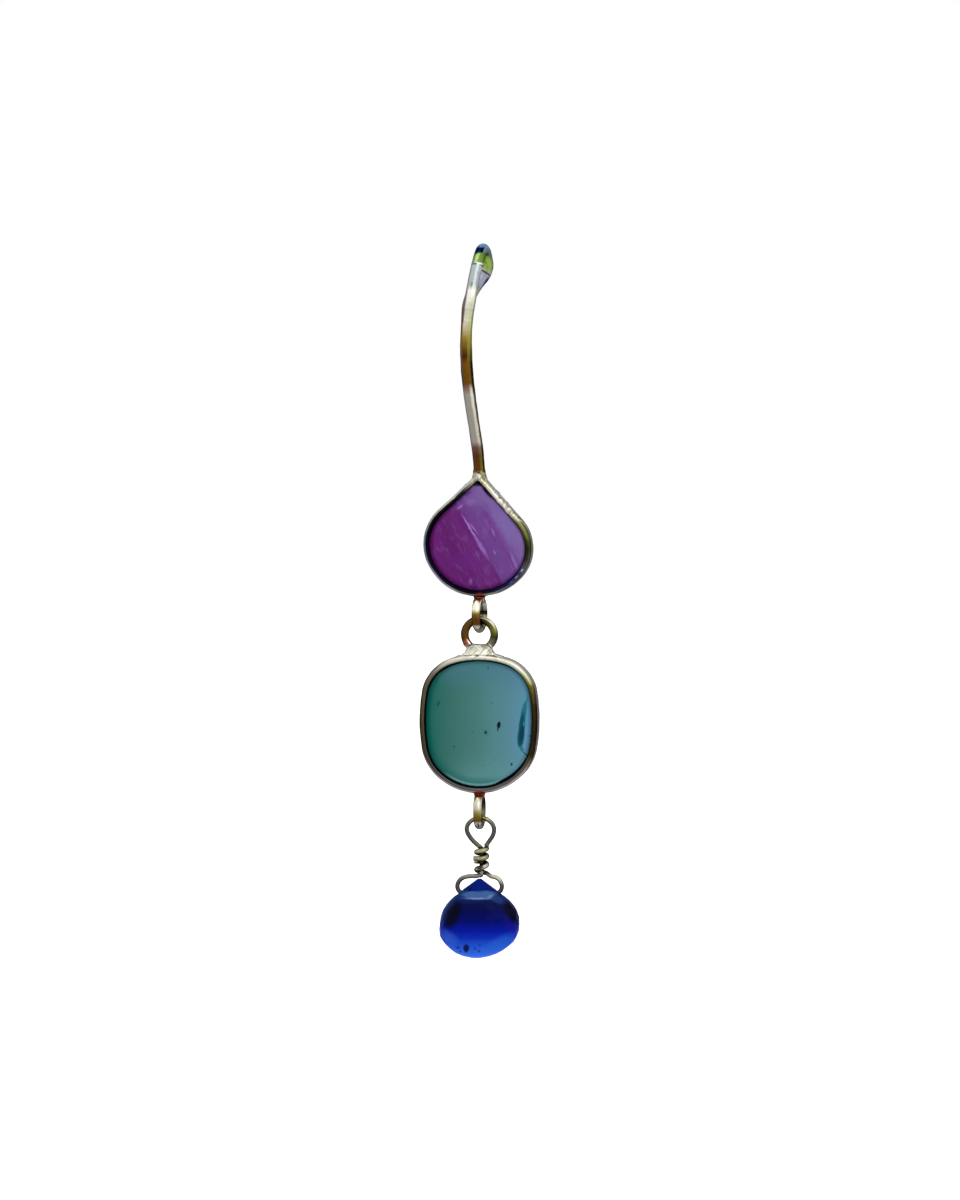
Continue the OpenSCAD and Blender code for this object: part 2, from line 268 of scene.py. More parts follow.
class NodeWriter:
    """Adds nodes to one tree, of a material, a world or Geometry Nodes."""

    def __init__(self, tree: bpy.types.NodeTree) -> None:
        """Writes into a tree."""
        self.tree = tree

    def node(
        self, kind: str, inputs: dict[str | int, Any] | None = None, **settings: Any
    ) -> bpy.types.Node:
        """Adds one node.

        Args:
            kind: The node's type.
            inputs: Values, terms or sockets for the node's sockets, by name or number.
            **settings: The node's own settings, set first. A ramp's are its stops.

        Returns:
            The node.
        """
        made = self.tree.nodes.new(kind)
        for name, setting in settings.items():
            if name == "stops":
                self._set_stops(made.color_ramp, setting)
            else:
                setattr(made, name, setting)
        for name, given in (inputs or {}).items():
            self._give(made.inputs[name], given)
        return made

    def _give(self, socket: bpy.types.NodeSocket, given: Any) -> None:
        """Links a socket to a term or socket, or sets its value, a shade as a colour.

        Args:
            socket: The socket.
            given: What it is given.
        """
        if isinstance(given, Term):
            self.tree.links.new(given.socket, socket)
        elif isinstance(given, tuple) and socket.type == "RGBA":
            socket.default_value = paint(given)
        elif isinstance(given, bpy.types.NodeSocket):
            self.tree.links.new(given, socket)
        else:
            socket.default_value = given

    @staticmethod
    def _set_stops(ramp: bpy.types.ColorRamp, stops: Sequence[tuple[float, Shade]]) -> None:
        """Sets a ramp's stops, which are given from its start to its end.

        Args:
            ramp: The ramp.
            stops: Places and shades.
        """
        while len(ramp.elements) > 1:
            ramp.elements.remove(ramp.elements[-1])
        ramp.elements[0].position = stops[0][0]
        ramp.elements[0].color = paint(stops[0][1])
        for position, shade in stops[1:]:
            ramp.elements.new(position).color = paint(shade)

    def parts(self, vector: bpy.types.NodeSocket) -> tuple[Term, Term, Term]:
        """The three values of a vector."""
        made = self.node("ShaderNodeSeparateXYZ", {"Vector": vector})
        return tuple(Term(self, made.outputs[axis]) for axis in "XYZ")

    def vector(self, x: Any, y: Any, z: Any) -> bpy.types.NodeSocket:
        """Three values as one vector."""
        return self.node("ShaderNodeCombineXYZ", {"X": x, "Y": y, "Z": z}).outputs[0]

    def ramp(self, along: Term, stops: Sequence[tuple[float, Shade]]) -> bpy.types.NodeSocket:
        """Colours along a value from 0 to 1."""
        return self.node("ShaderNodeValToRGB", {0: along}, stops=stops).outputs["Color"]


class Paint(NodeWriter):
    """One material while its nodes are written."""

    def __init__(self, name: str, marks_from: float = 0.0) -> None:
        """Makes an empty material.

        Args:
            name: The material's name.
            marks_from: The height that its marks are measured from, in millimetres.
        """
        self.material = bpy.data.materials.new(name)
        self.material.use_nodes = True
        super().__init__(self.material.node_tree)
        self.tree.nodes.clear()
        where = self.node("ShaderNodeTexCoord").outputs["Object"]
        self.here = tuple(part / MM for part in self.parts(where))
        self.x, self.y, self.z = self.here
        away = self.y * math.cos(FRONT_TURN) - self.x * math.sin(FRONT_TURN)
        self.across = self.x * math.cos(FRONT_TURN) + self.y * math.sin(FRONT_TURN)
        self.up = self.z * math.cos(FRONT_TIP) + away * math.sin(FRONT_TIP) - marks_from

    @cached_property
    def outward(self) -> tuple[Term, Term, Term]:
        """The way that the surface faces, which the mesh holds at its vertices."""
        made = self.node("ShaderNodeAttribute", attribute_name="outward")
        return self.parts(made.outputs["Vector"])

    @cached_property
    def to_right(self) -> Term:
        """How far the surface faces to the right of the front view, from -1 to 1."""
        right, back, _ = self.outward
        return right * math.cos(FRONT_TURN) + back * math.sin(FRONT_TURN)

    @cached_property
    def to_front(self) -> Term:
        """How far the surface faces to the front or to the back, from 0 to 1."""
        right, back, _ = self.outward
        return abs(right * math.sin(FRONT_TURN) - back * math.cos(FRONT_TURN))

    @cached_property
    def waver(self) -> Term:
        """Soft noise from -0.5 to 0.5, which makes the edges of marks uneven."""
        return self.noise(self.here, 2.4, 3.0) - 0.5

    def from_middle(self, middle_z: float) -> tuple[Term, Term]:
        """Where a point lies round a middle, and how far its surface faces away from it.

        Args:
            middle_z: The middle's height.

        Returns:
            The share of a turn, anticlockwise from the right, and a value from -1 to 1.
        """
        rise = self.z - middle_z
        distance = (self.x * self.x + rise * rise).root().most(HAIR)
        away = (self.outward[0] * self.x + self.outward[2] * rise) / distance
        return rise.turn_to(self.x), away

    def noise(self, at: tuple[Any, Any, Any], scale: float, detail: float = 2.0) -> Term:
        """Soft noise from 0 to 1.

        Args:
            at: The place, in millimetres, stretched as wanted.
            scale: Spots for each millimetre.
            detail: How many finer layers are added.

        Returns:
            The noise.
        """
        inputs = {"Vector": self.vector(*at), "Scale": scale, "Detail": detail}
        made = self.node("ShaderNodeTexNoise", inputs, noise_dimensions="3D")
        return Term(self, made.outputs[0])

    def levels(self, along: Term, rows: Sequence[tuple[float, Shade]]) -> bpy.types.NodeSocket:
        """Colours along a value in millimetres.

        Args:
            along: The value.
            rows: Places and their colours, in order up or down.

        Returns:
            The colour.
        """
        first, last = rows[0][0], rows[-1][0]
        share = (first - along) / (first - last)
        return self.ramp(share, [((first - at) / (first - last), shade) for at, shade in rows])

    def mix(
        self, mask: Any, under: Any, over: Any, blend: Blend = Blend.COVER
    ) -> bpy.types.NodeSocket:
        """One colour over another.

        Args:
            mask: How much of it, from 0 to 1.
            under: The colour below.
            over: The colour above.
            blend: How the colours are put together.

        Returns:
            The colour.
        """
        how = {"data_type": "RGBA", "blend_type": blend.value, "clamp_factor": True}
        return self.node("ShaderNodeMix", {0: mask, 6: under, 7: over}, **how).outputs[2]

    def attribute(self, name: str) -> Term:
        """A value that the mesh holds at its vertices."""
        made = self.node("ShaderNodeAttribute", attribute_name=name)
        return Term(self, made.outputs["Fac"])

    def spot(self, mark: "Mark") -> Term:
        """A mask that is 1 inside a mark and 0 outside it.

        Args:
            mark: The mark.

        Returns:
            The mask.
        """
        across = self.across - mark.across + self.waver * mark.ragged
        up = self.up - mark.up + self.waver * mark.ragged
        lean = math.radians(mark.turn)
        first = (across * math.cos(lean) + up * math.sin(lean)) / mark.half_width
        second = (up * math.cos(lean) - across * math.sin(lean)) / mark.half_height
        return (first * first + second * second).root().rise(1 + mark.soft, 1 - mark.soft)

    def patched(self, under: Any, patches: Iterable["Patch"]) -> Any:
        """A colour with patches over it, one after another.

        Args:
            under: The colour.
            patches: The patches.

        Returns:
            The patched colour.
        """
        for patch in patches:
            mask = self.spot(patch) * patch.strength
            if patch.depth is Depth.FAR:
                mask = mask * self.y.rise(-FAR_BLEND, FAR_BLEND)
            under = self.mix(mask, under, patch.shade)
        return under

    def surface(
        self,
        varying: dict[str, Any],
        fixed: dict[str, Any],
        relief: Term | None = None,
        depth: float = 0.0,
    ) -> bpy.types.Material:
        """Ends the material in a Principled shader.

        Args:
            varying: What changes over the surface, by socket.
            fixed: What is the same all over, by socket.
            relief: A height from 0 to 1 for fine bumps.
            depth: The height in millimetres of a relief of 1.

        Returns:
            The material.
        """
        inputs = dict(varying, **fixed)
        if relief is not None:
            bump = self.node("ShaderNodeBump", {"Distance": depth * MM, "Height": relief})
            inputs["Normal"] = bump.outputs["Normal"]
        shader = self.node("ShaderNodeBsdfPrincipled", inputs)
        self.node("ShaderNodeOutputMaterial", {"Surface": shader.outputs[0]})
        return self.material


class PieceTree(NodeWriter):
    """A Geometry Nodes tree with named inputs."""

    def __init__(self, name: str, inputs: dict[str, str]) -> None:
        """Starts a tree.

        Args:
            name: The tree's name.
            inputs: The kind of each input, such as Float, by name.
        """
        super().__init__(bpy.data.node_groups.new(name, "GeometryNodeTree"))
        sockets = self.tree.interface
        for label, kind in {"Geometry": "Geometry", **inputs, "Material": "Material"}.items():
            sockets.new_socket(label, in_out="INPUT", socket_type=f"NodeSocket{kind}")
        sockets.new_socket("Geometry", in_out="OUTPUT", socket_type="NodeSocketGeometry")
        self.given = self.node("NodeGroupInput").outputs

    def term(self, label: str) -> Term:
        """One of the tree's inputs as a value."""
        return Term(self, self.given[label])

    def finish(self, geometry: bpy.types.NodeSocket) -> None:
        """Ends the tree in Realize Instances and Set Material.

        Args:
            geometry: The tree's geometry.
        """
        realized = self.node("GeometryNodeRealizeInstances", {"Geometry": geometry})
        inputs = {"Geometry": realized.outputs[0], "Material": self.given["Material"]}
        dressed = self.node("GeometryNodeSetMaterial", inputs)
        self.node("NodeGroupOutput", {"Geometry": dressed.outputs[0]})

    def put_on(self, piece: bpy.types.Object, values: dict[str, Any]) -> None:
        """Adds the tree to a piece as a modifier.

        Args:
            piece: The piece.
            values: The inputs' values, by name.
        """
        modifier = piece.modifiers.new(self.tree.name, "NODES")
        modifier.node_group = self.tree
        for item in self.tree.interface.items_tree:
            if item.item_type == "SOCKET" and item.in_out == "INPUT" and item.name in values:
                modifier[item.identifier] = values[item.name]


# Marks and shapes


@dataclass(frozen=True)
class Mark:
    """An oval mark in the front view, in millimetres and degrees.

    It is turned anticlockwise, so a positive turn tips a tall mark to the left.
    """

    across: float
    up: float
    half_width: float
    half_height: float
    turn: float = 0.0
    soft: float = 0.3
    ragged: float = 0.0


class Depth(Enum):
    """Which part of a piece a patch lies on."""

    ALL = "all"
    FAR = "far"


@dataclass(frozen=True)
class Patch(Mark):
    """A mark with a colour laid over the surface: in some tables a painted highlight, reflection
    or shade, in others a speck or feather of the thing.
    """

    shade: Shade = (255, 255, 255)
    strength: float = 1.0
    depth: Depth = Depth.ALL


@dataclass(frozen=True)
class Veil:
    """A colour laid over another where a value is past a step, so strongly."""

    shade: Shade
    start: float
    end: float
    strength: float

    def over(self, p: Paint, value: Term, under: Any) -> bpy.types.NodeSocket:
        """The colour with the veil over it."""
        return p.mix(value.rise(self.start, self.end) * self.strength, under, self.shade)


@dataclass(frozen=True)
class Arc:
    """One arc of an outline: its radius, and the angle that it turns."""

    radius: float
    sweep: float


@dataclass(frozen=True)
class Station:
    """A point of an outline, and the step that it takes for each millimetre inwards."""

    point: Vector
    inward: Vector

    def inset(self, distance: float) -> Vector:
        """The point so far in from the outline."""
        return self.point + self.inward * distance

    def towards(self, other: "Station", share: float) -> "Station":
        """A station between this one and another.

        Args:
            other: The other station.
            share: How far it lies, from 0 to 1.

        Returns:
            The station.
        """
        return Station(
            self.point.lerp(other.point, share), self.inward.lerp(other.inward, share)
        )

    def mirrored(self) -> "Station":
        """The same point of the other side.

        Returns:
            The station.
        """
        return Station(
            Vector((-self.point.x, self.point.y)), Vector((-self.inward.x, self.inward.y))
        )


@dataclass(frozen=True)
class Outline:
    """A setting's outline, from arcs that go up its two sides from the bottom's middle.

    A pointed one goes on in straight sides that meet at its tip. Another one ends in an arc
    over the top.
    """

    right: tuple[Arc, ...]
    left: tuple[Arc, ...]
    pointed: bool

    def stations(self, step: float) -> list[Station]:
        """Points all the way round, anticlockwise from the middle of the bottom.

        Args:
            step: About how far they lie apart.

        Returns:
            The points.
        """
        right, right_end, right_turned = self._side(self.right, step)
        left, left_end, left_turned = self._side(self.left, step)
        if self.pointed:
            top = self._tip(right_end, right_turned, left_end, left_turned)
            right += self._straight(right_end, right_turned, top, step)
            left += self._straight(left_end, left_turned, top.mirrored(), step)
        else:
            last = Arc(right_end.x / math.sin(right_turned), 180 - math.degrees(right_turned))
            height = right_end.y + last.radius * (math.cos(right_turned) + 1)
            top = Station(Vector((0.0, height)), Vector((0.0, -1.0)))
            right += self._along_arc(right_end, right_turned, last, step)
            left += self._along_arc(left_end, left_turned, last, step)
        return right + [top] + [station.mirrored() for station in reversed(left[1:])]

    def _side(self, arcs: tuple[Arc, ...], step: float) -> tuple[list[Station], Vector, float]:
        """Points up the arcs of one side, as if it were the right one.

        Args:
            arcs: The side's arcs.
            step: About how far the points lie apart.

        Returns:
            The points, the place where the arcs end and the angle turned by then.
        """
        place, turned = Vector((0.0, 0.0)), 0.0
        found: list[Station] = []
        for arc in arcs:
            found += self._along_arc(place, turned, arc, step)
            end = turned + math.radians(arc.sweep)
            way = Vector((math.sin(end) - math.sin(turned), math.cos(turned) - math.cos(end)))
            place, turned = place + way * arc.radius, end
        return found, place, turned

    @staticmethod
    def _tip(right_end: Vector, right: float, left_end: Vector, left: float) -> Station:
        """The tip where the straight sides meet.

        Args:
            right_end: Where the right side's arcs end.
            right: The angle that they turn.
            left_end: Where the left side's arcs end, as if it were the right side.
            left: The angle that they turn.

        Returns:
            The tip.
        """
        start = Vector((-left_end.x, left_end.y))
        right_way = Vector((math.cos(right), math.sin(right)))
        left_way = Vector((-math.cos(left), math.sin(left)))
        run = (start - right_end).cross(left_way) / right_way.cross(left_way)
        inward = (right_way + left_way) / math.sin(right + left)
        return Station(right_end + right_way * run, inward)

    @staticmethod
    def _straight(place: Vector, turned: float, top: Station, step: float) -> list[Station]:
        """Points up a straight side, without its top.

        Args:
            place: Where the side starts.
            turned: The angle turned by then.
            top: Where it ends.
            step: About how far the points lie apart.

        Returns:
            The points.
        """
        start = Station(place, Vector((-math.sin(turned), math.cos(turned))))
        count = max(1, round((top.point - place).length / step))
        return [start.towards(top, k / count) for k in range(count)]

    @staticmethod
    def _along_arc(place: Vector, heading: float, arc: Arc, step: float) -> list[Station]:
        """Points of one arc, without its end.

        Args:
            place: Where the arc starts.
            heading: The angle turned by then.
            arc: The arc.
            step: About how far the points lie apart.

        Returns:
            The points.
        """
        sweep = math.radians(arc.sweep)
        count = max(1, round(arc.radius * sweep / step))
        centre = place + Vector((-math.sin(heading), math.cos(heading))) * arc.radius
        found = []
        for k in range(count):
            angle = heading + sweep * k / count
            outward = Vector((math.sin(angle), -math.cos(angle)))
            found.append(Station(centre + outward * arc.radius, -outward))
        return found


PEAR = Outline(
    right=(Arc(5.1, 48.5), Arc(3.97, 83)), left=(Arc(5.1, 66), Arc(4.24, 71)), pointed=True
)
CUSHION_SIDE = (Arc(5.55, 44), Arc(4.55, 36), Arc(15.2, 19.5), Arc(3.9, 64.5))
CUSHION = Outline(right=CUSHION_SIDE, left=CUSHION_SIDE, pointed=False)


def stand(name: str, data: bpy.types.ID) -> bpy.types.Object:
    """Stands a mesh, a light or a camera in the scene as an object.

    Args:
        name: The object's name.
        data: Its data.

    Returns:
        The object.
    """
    made = bpy.data.objects.new(name, data)
    bpy.context.scene.collection.objects.link(made)
    return made


def make_piece(
    name: str,
    points: Iterable[Vector],
    faces: Iterable[Sequence[int]],
    edges: Iterable[Sequence[int]] = (),
) -> bpy.types.Object:
    """Makes an object from points in millimetres.

    Args:
        name: The piece's name.
        points: Its points.
        faces: Its faces, by the points' numbers.
        edges: Its edges, if it has no faces.

    Returns:
        The object, at the origin.
    """
    mesh = bpy.data.meshes.new(name)
    mesh.from_pydata([Vector(point) * MM for point in points], list(edges), list(faces))
    mesh.validate()
    return stand(name, mesh)


def from_form(name: str, form: bmesh.types.BMesh) -> bpy.types.Object:
    """Makes an object from a form in metres, which is freed.

    Args:
        name: The object's name.
        form: The form.

    Returns:
        The object.
    """
    mesh = bpy.data.meshes.new(name)
    form.to_mesh(mesh)
    form.free()
    return stand(name, mesh)


def sort_added(form: bmesh.types.BMesh, known: set[bmesh.types.BMFace]) -> None:
    """Sorts a form's added faces by their points, as their own order can change in each run.

    Args:
        form: The form.
        known: The faces that it had before, which keep their places.
    """
    form.verts.index_update()
    places = {face: k for k, face in enumerate(form.faces)}
    added = [face for face in form.faces if face not in known]
    free = [places[face] for face in added]
    added.sort(key=lambda face: sorted(point.index for point in face.verts))
    places.update(zip(added, free))
    form.faces.sort(key=places.get)


def turn_outwards(mesh: bpy.types.Mesh) -> None:
    """Turns the faces of a closed mesh outwards.

    Args:
        mesh: The mesh.
    """
    form = bmesh.new()
    form.from_mesh(mesh)
    bmesh.ops.recalc_face_normals(form, faces=form.faces)
    form.to_mesh(mesh)
    form.free()


def make_plain(piece: bpy.types.Object) -> None:
    """Turns a piece's modifiers into its mesh.

    Args:
        piece: The piece.
    """
    graph = bpy.context.evaluated_depsgraph_get()
    made = bpy.data.meshes.new_from_object(piece.evaluated_get(graph), depsgraph=graph)
    old = piece.data
    piece.modifiers.clear()
    piece.data = made
    bpy.data.meshes.remove(old)
    made.name = piece.name


def dress(piece: bpy.types.Object, material: bpy.types.Material, smooth: bool) -> None:
    """Gives a piece its one material and its shading.

    Args:
        piece: The piece.
        material: Its material.
        smooth: Whether it is shaded smoothly.
    """
    piece.data.materials.clear()
    piece.data.materials.append(material)
    piece.data.polygons.foreach_set("use_smooth", [smooth] * len(piece.data.polygons))


def keep_directions(piece: bpy.types.Object) -> None:
    """Keeps the way that each vertex faces in the attribute named outward.

    Args:
        piece: The piece.
    """
    mesh = piece.data
    directions = [0.0] * (3 * len(mesh.vertices))
    mesh.vertices.foreach_get("normal", directions)
    mesh.attributes.new("outward", "FLOAT_VECTOR", "POINT").data.foreach_set("vector", directions)


def hand_over(piece: bpy.types.Object, body: Body, node: Node) -> None:
    """Puts a finished piece on its body, in place of its solid.

    Args:
        piece: The piece.
        body: The body that it rides on.
        node: The solid that it stands for.
    """
    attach(piece, body.value)
    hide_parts(node.value)
    log.info("%s: %d faces, for %s", piece.name, len(piece.data.polygons), node.value)


# Finishes


@dataclass(frozen=True)
class RoundShade:
    """A round piece's painted reflections and shade at one share of a turn, anticlockwise from its
    right.
    """

    turn: float
    outer: Shade
    inner: Shade


@dataclass(frozen=True)
class RoundReflectionsAndShade:
    """Painted reflections and shade that go round the middle of a setting or a ring, from its
    right and back.
    """

    middle_z: float
    rows: tuple[RoundShade, ...]
    outer_from: float = 0.15
    outer_whole: float = 0.7
    drift_turn: float = 0.02
    drift_edge: float = 0.3

    def colour(self, p: Paint, drift: Term) -> bpy.types.NodeSocket:
        """The colour, which changes from the outer edge to the inner one.

        Args:
            p: The material being written.
            drift: Soft noise that moves the edges.

        Returns:
            The colour.
        """
        turn, away = p.from_middle(self.middle_z)
        turn = turn + drift * self.drift_turn
        first = self.rows[0]
        outer = p.ramp(turn, [(row.turn, row.outer) for row in self.rows] + [(1.0, first.outer)])
        inner = p.ramp(turn, [(row.turn, row.inner) for row in self.rows] + [(1.0, first.inner)])
        edge = (away + drift * self.drift_edge).rise(self.outer_from, self.outer_whole)
        return p.mix(edge, inner, outer)


@dataclass(frozen=True)
class WireShade:
    """The ear wire's painted reflections at one height, from its left edge to its right one."""

    z: float
    left: Shade
    middle: Shade
    stripe: Shade
    right: Shade


@dataclass(frozen=True)
class WireReflections:
    """Painted reflections down the ear wire, with a stripe of them to the right of its middle."""

    rows: tuple[WireShade, ...]
    drift_down: float = 0.35
    drift_side: float = 0.15
    middle_edge: tuple[float, float] = (-0.8, -0.5)
    stripe_edge: tuple[float, float] = (0.12, 0.3)
    right_edge: tuple[float, float] = (0.55, 0.8)

    def colour(self, p: Paint, drift: Term) -> bpy.types.NodeSocket:
        """The colour, which changes from the left edge to the right one.

        Args:
            p: The material being written.
            drift: Soft noise that moves the edges.

        Returns:
            The colour.
        """
        level = p.up + drift * self.drift_down
        side = p.to_right + drift * self.drift_side
        colour = p.levels(level, [(row.z, row.left) for row in self.rows])
        for edge, shades in (
            (self.middle_edge, [(row.z, row.middle) for row in self.rows]),
            (self.stripe_edge, [(row.z, row.stripe) for row in self.rows]),
            (self.right_edge, [(row.z, row.right) for row in self.rows]),
        ):
            colour = p.mix(side.rise(*edge), colour, p.levels(level, shades))
        return colour


@dataclass(frozen=True)
class LoopShade:
    """The painted reflections of a loop's near bar and far bar at one height over the loop's top.
    """

    up: float
    near: Shade
    far: Shade


@dataclass(frozen=True)
class LoopReflectionsAndShade:
    """Painted reflections on a loop that is seen edge-on, with painted shade at its edges."""

    top_z: float
    rows: tuple[LoopShade, ...]
    # The colour that darkens the loop's edges as painted shade
    edges: Shade = (150, 146, 140)
    edge_from: float = 0.55
    edge_whole: float = 0.2
    far_blend: float = 0.15
    drift: float = 0.2

    def colour(self, p: Paint, drift: Term) -> bpy.types.NodeSocket:
        """The colour, which changes down the loop.

        Args:
            p: The material being written.
            drift: Soft noise that moves the edges.

        Returns:
            The colour.
        """
        drift = drift * self.drift
        near = p.levels(p.up + drift, [(self.top_z + row.up, row.near) for row in self.rows])
        far = p.levels(p.up + drift, [(self.top_z + row.up, row.far) for row in self.rows])
        colour = p.mix(p.y.rise(-self.far_blend, self.far_blend), near, far)
        # Painted shade: the edges that face sideways are darkened
        edge = (p.to_front + drift).rise(self.edge_from, self.edge_whole)
        return p.mix(edge, colour, self.edges, Blend.MULTIPLY)


@dataclass(frozen=True)
class HandWorkedMetal:
    """Polished pale gold plate with painted reflections and shade along it, and silvery solder at
    its joints.
    """

    name: str
    setting: RoundReflectionsAndShade
    above: RoundReflectionsAndShade | WireReflections
    above_from: float
    loop: LoopReflectionsAndShade
    loop_from: float
    scratched: tuple[Mark, ...]
    patches: tuple[Patch, ...]
    above_blend: float = 0.15
    loop_blend: float = 0.12
    light_scratch: Veil = Veil((255, 255, 244), 0.5, 0.62, 0.75)
    dark_scratch: Veil = Veil((132, 126, 104), 0.5, 0.62, 0.75)
    light_lean: float = 0.9
    dark_lean: float = -0.8
    scratch_fineness: float = 4.0
    scratch_slimness: float = 0.7
    relief: float = 0.01

    def material(self) -> bpy.types.Material:
        """Writes the material.

        Returns:
            The material.
        """
        p = Paint(self.name)
        drift = p.noise(p.here, 0.9, 3.0) - 0.5
        colour = self.setting.colour(p, drift)
        above = p.z.rise(self.above_from - self.above_blend, self.above_from + self.above_blend)
        colour = p.mix(above, colour, self.above.colour(p, drift))
        below = p.z.rise(self.loop_from + self.loop_blend, self.loop_from - self.loop_blend)
        colour = p.mix(below, colour, self.loop.colour(p, drift))
        # The patches add painted highlights, reflections and shade
        colour = p.patched(colour, self.patches)
        solder = p.spot(self.scratched[0])
        for mark in self.scratched[1:]:
            solder = solder.most(p.spot(mark))
        for lean, veil in (
            (self.light_lean, self.light_scratch),
            (self.dark_lean, self.dark_scratch),
        ):
            across = (p.x + p.z * lean) * self.scratch_fineness
            along = (p.z - p.x * lean) * self.scratch_slimness
            lines = p.noise((across, p.y, along), 1.0, 3.0).rise(veil.start, veil.end)
            colour = p.mix(solder * lines * veil.strength, colour, veil.shade)
        grain = p.noise(p.here, 7.0, 4.0)
        brushed = p.noise((p.x * 3, p.y, p.z * 14), 2.2, 3.0)
        varying = {"Base Color": colour, "Roughness": 0.17 + 0.12 * grain + 0.14 * solder}
        return p.surface(varying, POLISHED_METAL, (brushed + grain) * 0.5, self.relief)


@dataclass(frozen=True)
class ThinShade:
    """The thin wire's colours at one height over the drilled hole: on its face, and as painted
    shade at its edges.
    """

    up: float
    face: Shade
    edge: Shade


@dataclass(frozen=True)
class DrawnWire:
    """Thin drawn wire, dark grey at its loop and creamy in its wraps, with painted shade at its
    edges and between its wraps.
    """

    name: str
    hole_z: float
    stem_x: float
    rows: tuple[ThinShade, ...]
    patches: tuple[Patch, ...]
    wrap_gap_shade: Shade = (52, 48, 34)
    stem_reach: tuple[float, float] = (0.32, 0.24)
    wraps_from: tuple[float, float] = (1.9, 2.1)
    wraps_to: tuple[float, float] = (4.4, 4.2)
    relief: float = 0.006

    def material(self) -> bpy.types.Material:
        """Writes the material.

        Returns:
            The material.
        """
        p = Paint(self.name, self.hole_z)
        spots = p.noise(p.here, 2.4, 3.0)
        level = p.up + (spots - 0.5) * 0.3
        face = p.levels(level, [(row.up, row.face) for row in self.rows])
        edge = p.levels(level, [(row.up, row.edge) for row in self.rows])
        # Painted shade: the edges that face sideways take the darker edge colour
        colour = p.mix((p.to_front + (spots - 0.5) * 0.4).rise(0.3, 0.75), edge, face)
        side = p.x - self.stem_x
        reach = (side * side + p.y * p.y).root().most(HAIR)
        away = (p.outward[0] * side + p.outward[1] * p.y) / reach
        # Painted shade on the stem where it shows between the wraps
        inner = away.rise(0.25, -0.15).most(reach.rise(*self.stem_reach))
        wraps = p.up.rise(*self.wraps_from) * p.up.rise(*self.wraps_to)
        colour = p.mix(inner * wraps, colour, self.wrap_gap_shade)
        colour = p.patched(colour, self.patches)
        varying = {"Base Color": colour, "Roughness": 0.2 + 0.14 * spots}
        return p.surface(varying, POLISHED_METAL, p.noise(p.here, 9.0), self.relief)


@dataclass(frozen=True)
class FeatheredAmethyst:
    """Purple quartz with a painted reflection of lighter violet towards its upper right, and
    feathers that lean to the left.
    """

    name: str
    middle_z: float
    feathers: tuple[Patch, ...]
    lean: float = 30.0
    # From dark purple at the left to lighter violet at the upper right, where the colour is a
    # painted reflection
    bands: tuple[tuple[float, Shade], ...] = (
        (-4.0, (84, 22, 91)),
        (-2.6, (79, 19, 86)),
        (-1.1, (88, 30, 96)),
        (-0.5, (82, 27, 93)),
        (-0.2, (91, 48, 112)),
        (0.7, (91, 54, 117)),
        (1.5, (92, 50, 114)),
        (2.2, (100, 73, 130)),
        (3.8, (107, 86, 137)),
    )
    haze: Veil = Veil((112, 92, 140), 0.54, 0.7, 0.13)
    thread: Veil = Veil((126, 98, 158), 0.54, 0.8, 0.22)
    shadow: Veil = Veil((73, 19, 86), 0.46, 0.22, 0.3)
    # A near-black line inside the rim: painted shade of the gap between stone and rim
    edge: Shade = (6, 4, 16)
    front_from: tuple[float, float] = (-0.3, -0.5)
    relief: float = 0.01

    def material(self) -> bpy.types.Material:
        """Writes the material.

        Returns:
            The material.
        """
        p = Paint(self.name, self.middle_z)
        lean = math.radians(self.lean)
        across = p.across * math.cos(lean) + p.up * math.sin(lean)
        down = p.across * math.sin(lean) - p.up * math.cos(lean)
        wave = p.noise((across * 0.5, p.y, down * 0.25), 1.2, 2.0) - 0.5
        colour = p.levels(across + wave * 0.9, self.bands)
        colour = self.haze.over(p, p.noise(p.here, 1.1, 4.0), colour)
        colour = p.patched(colour, self.feathers)
        threads = p.noise((across * 3.0, p.y * 0.2, down * 0.5), 1.8, 6.0)
        colour = self.thread.over(p, threads, colour)
        colour = self.shadow.over(p, threads, colour)
        # Painted shade in the gap under the rim, wider at the upper left, the foot and the right
        foot = p.up.rise(-2.0, -4.4)
        right = p.across.rise(2.0, 3.5)
        upper_left = (p.up * 0.75 - p.across * 0.65).rise(2.5, 3.2)
        reach = 0.1 + 0.24 * upper_left + 0.14 * foot + 0.16 * right
        rim_gap_shade = (p.attribute("bevel") - reach + p.waver * 0.2).rise(0.05, -0.05)
        colour = p.mix(rim_gap_shade * p.y.rise(*self.front_from), colour, self.edge)
        varying = {"Base Color": colour, "Roughness": 0.2 + 0.12 * threads}
        fixed = {"IOR": 1.54, "Specular IOR Level": 0.06}
        return p.surface(varying, fixed, threads, self.relief)


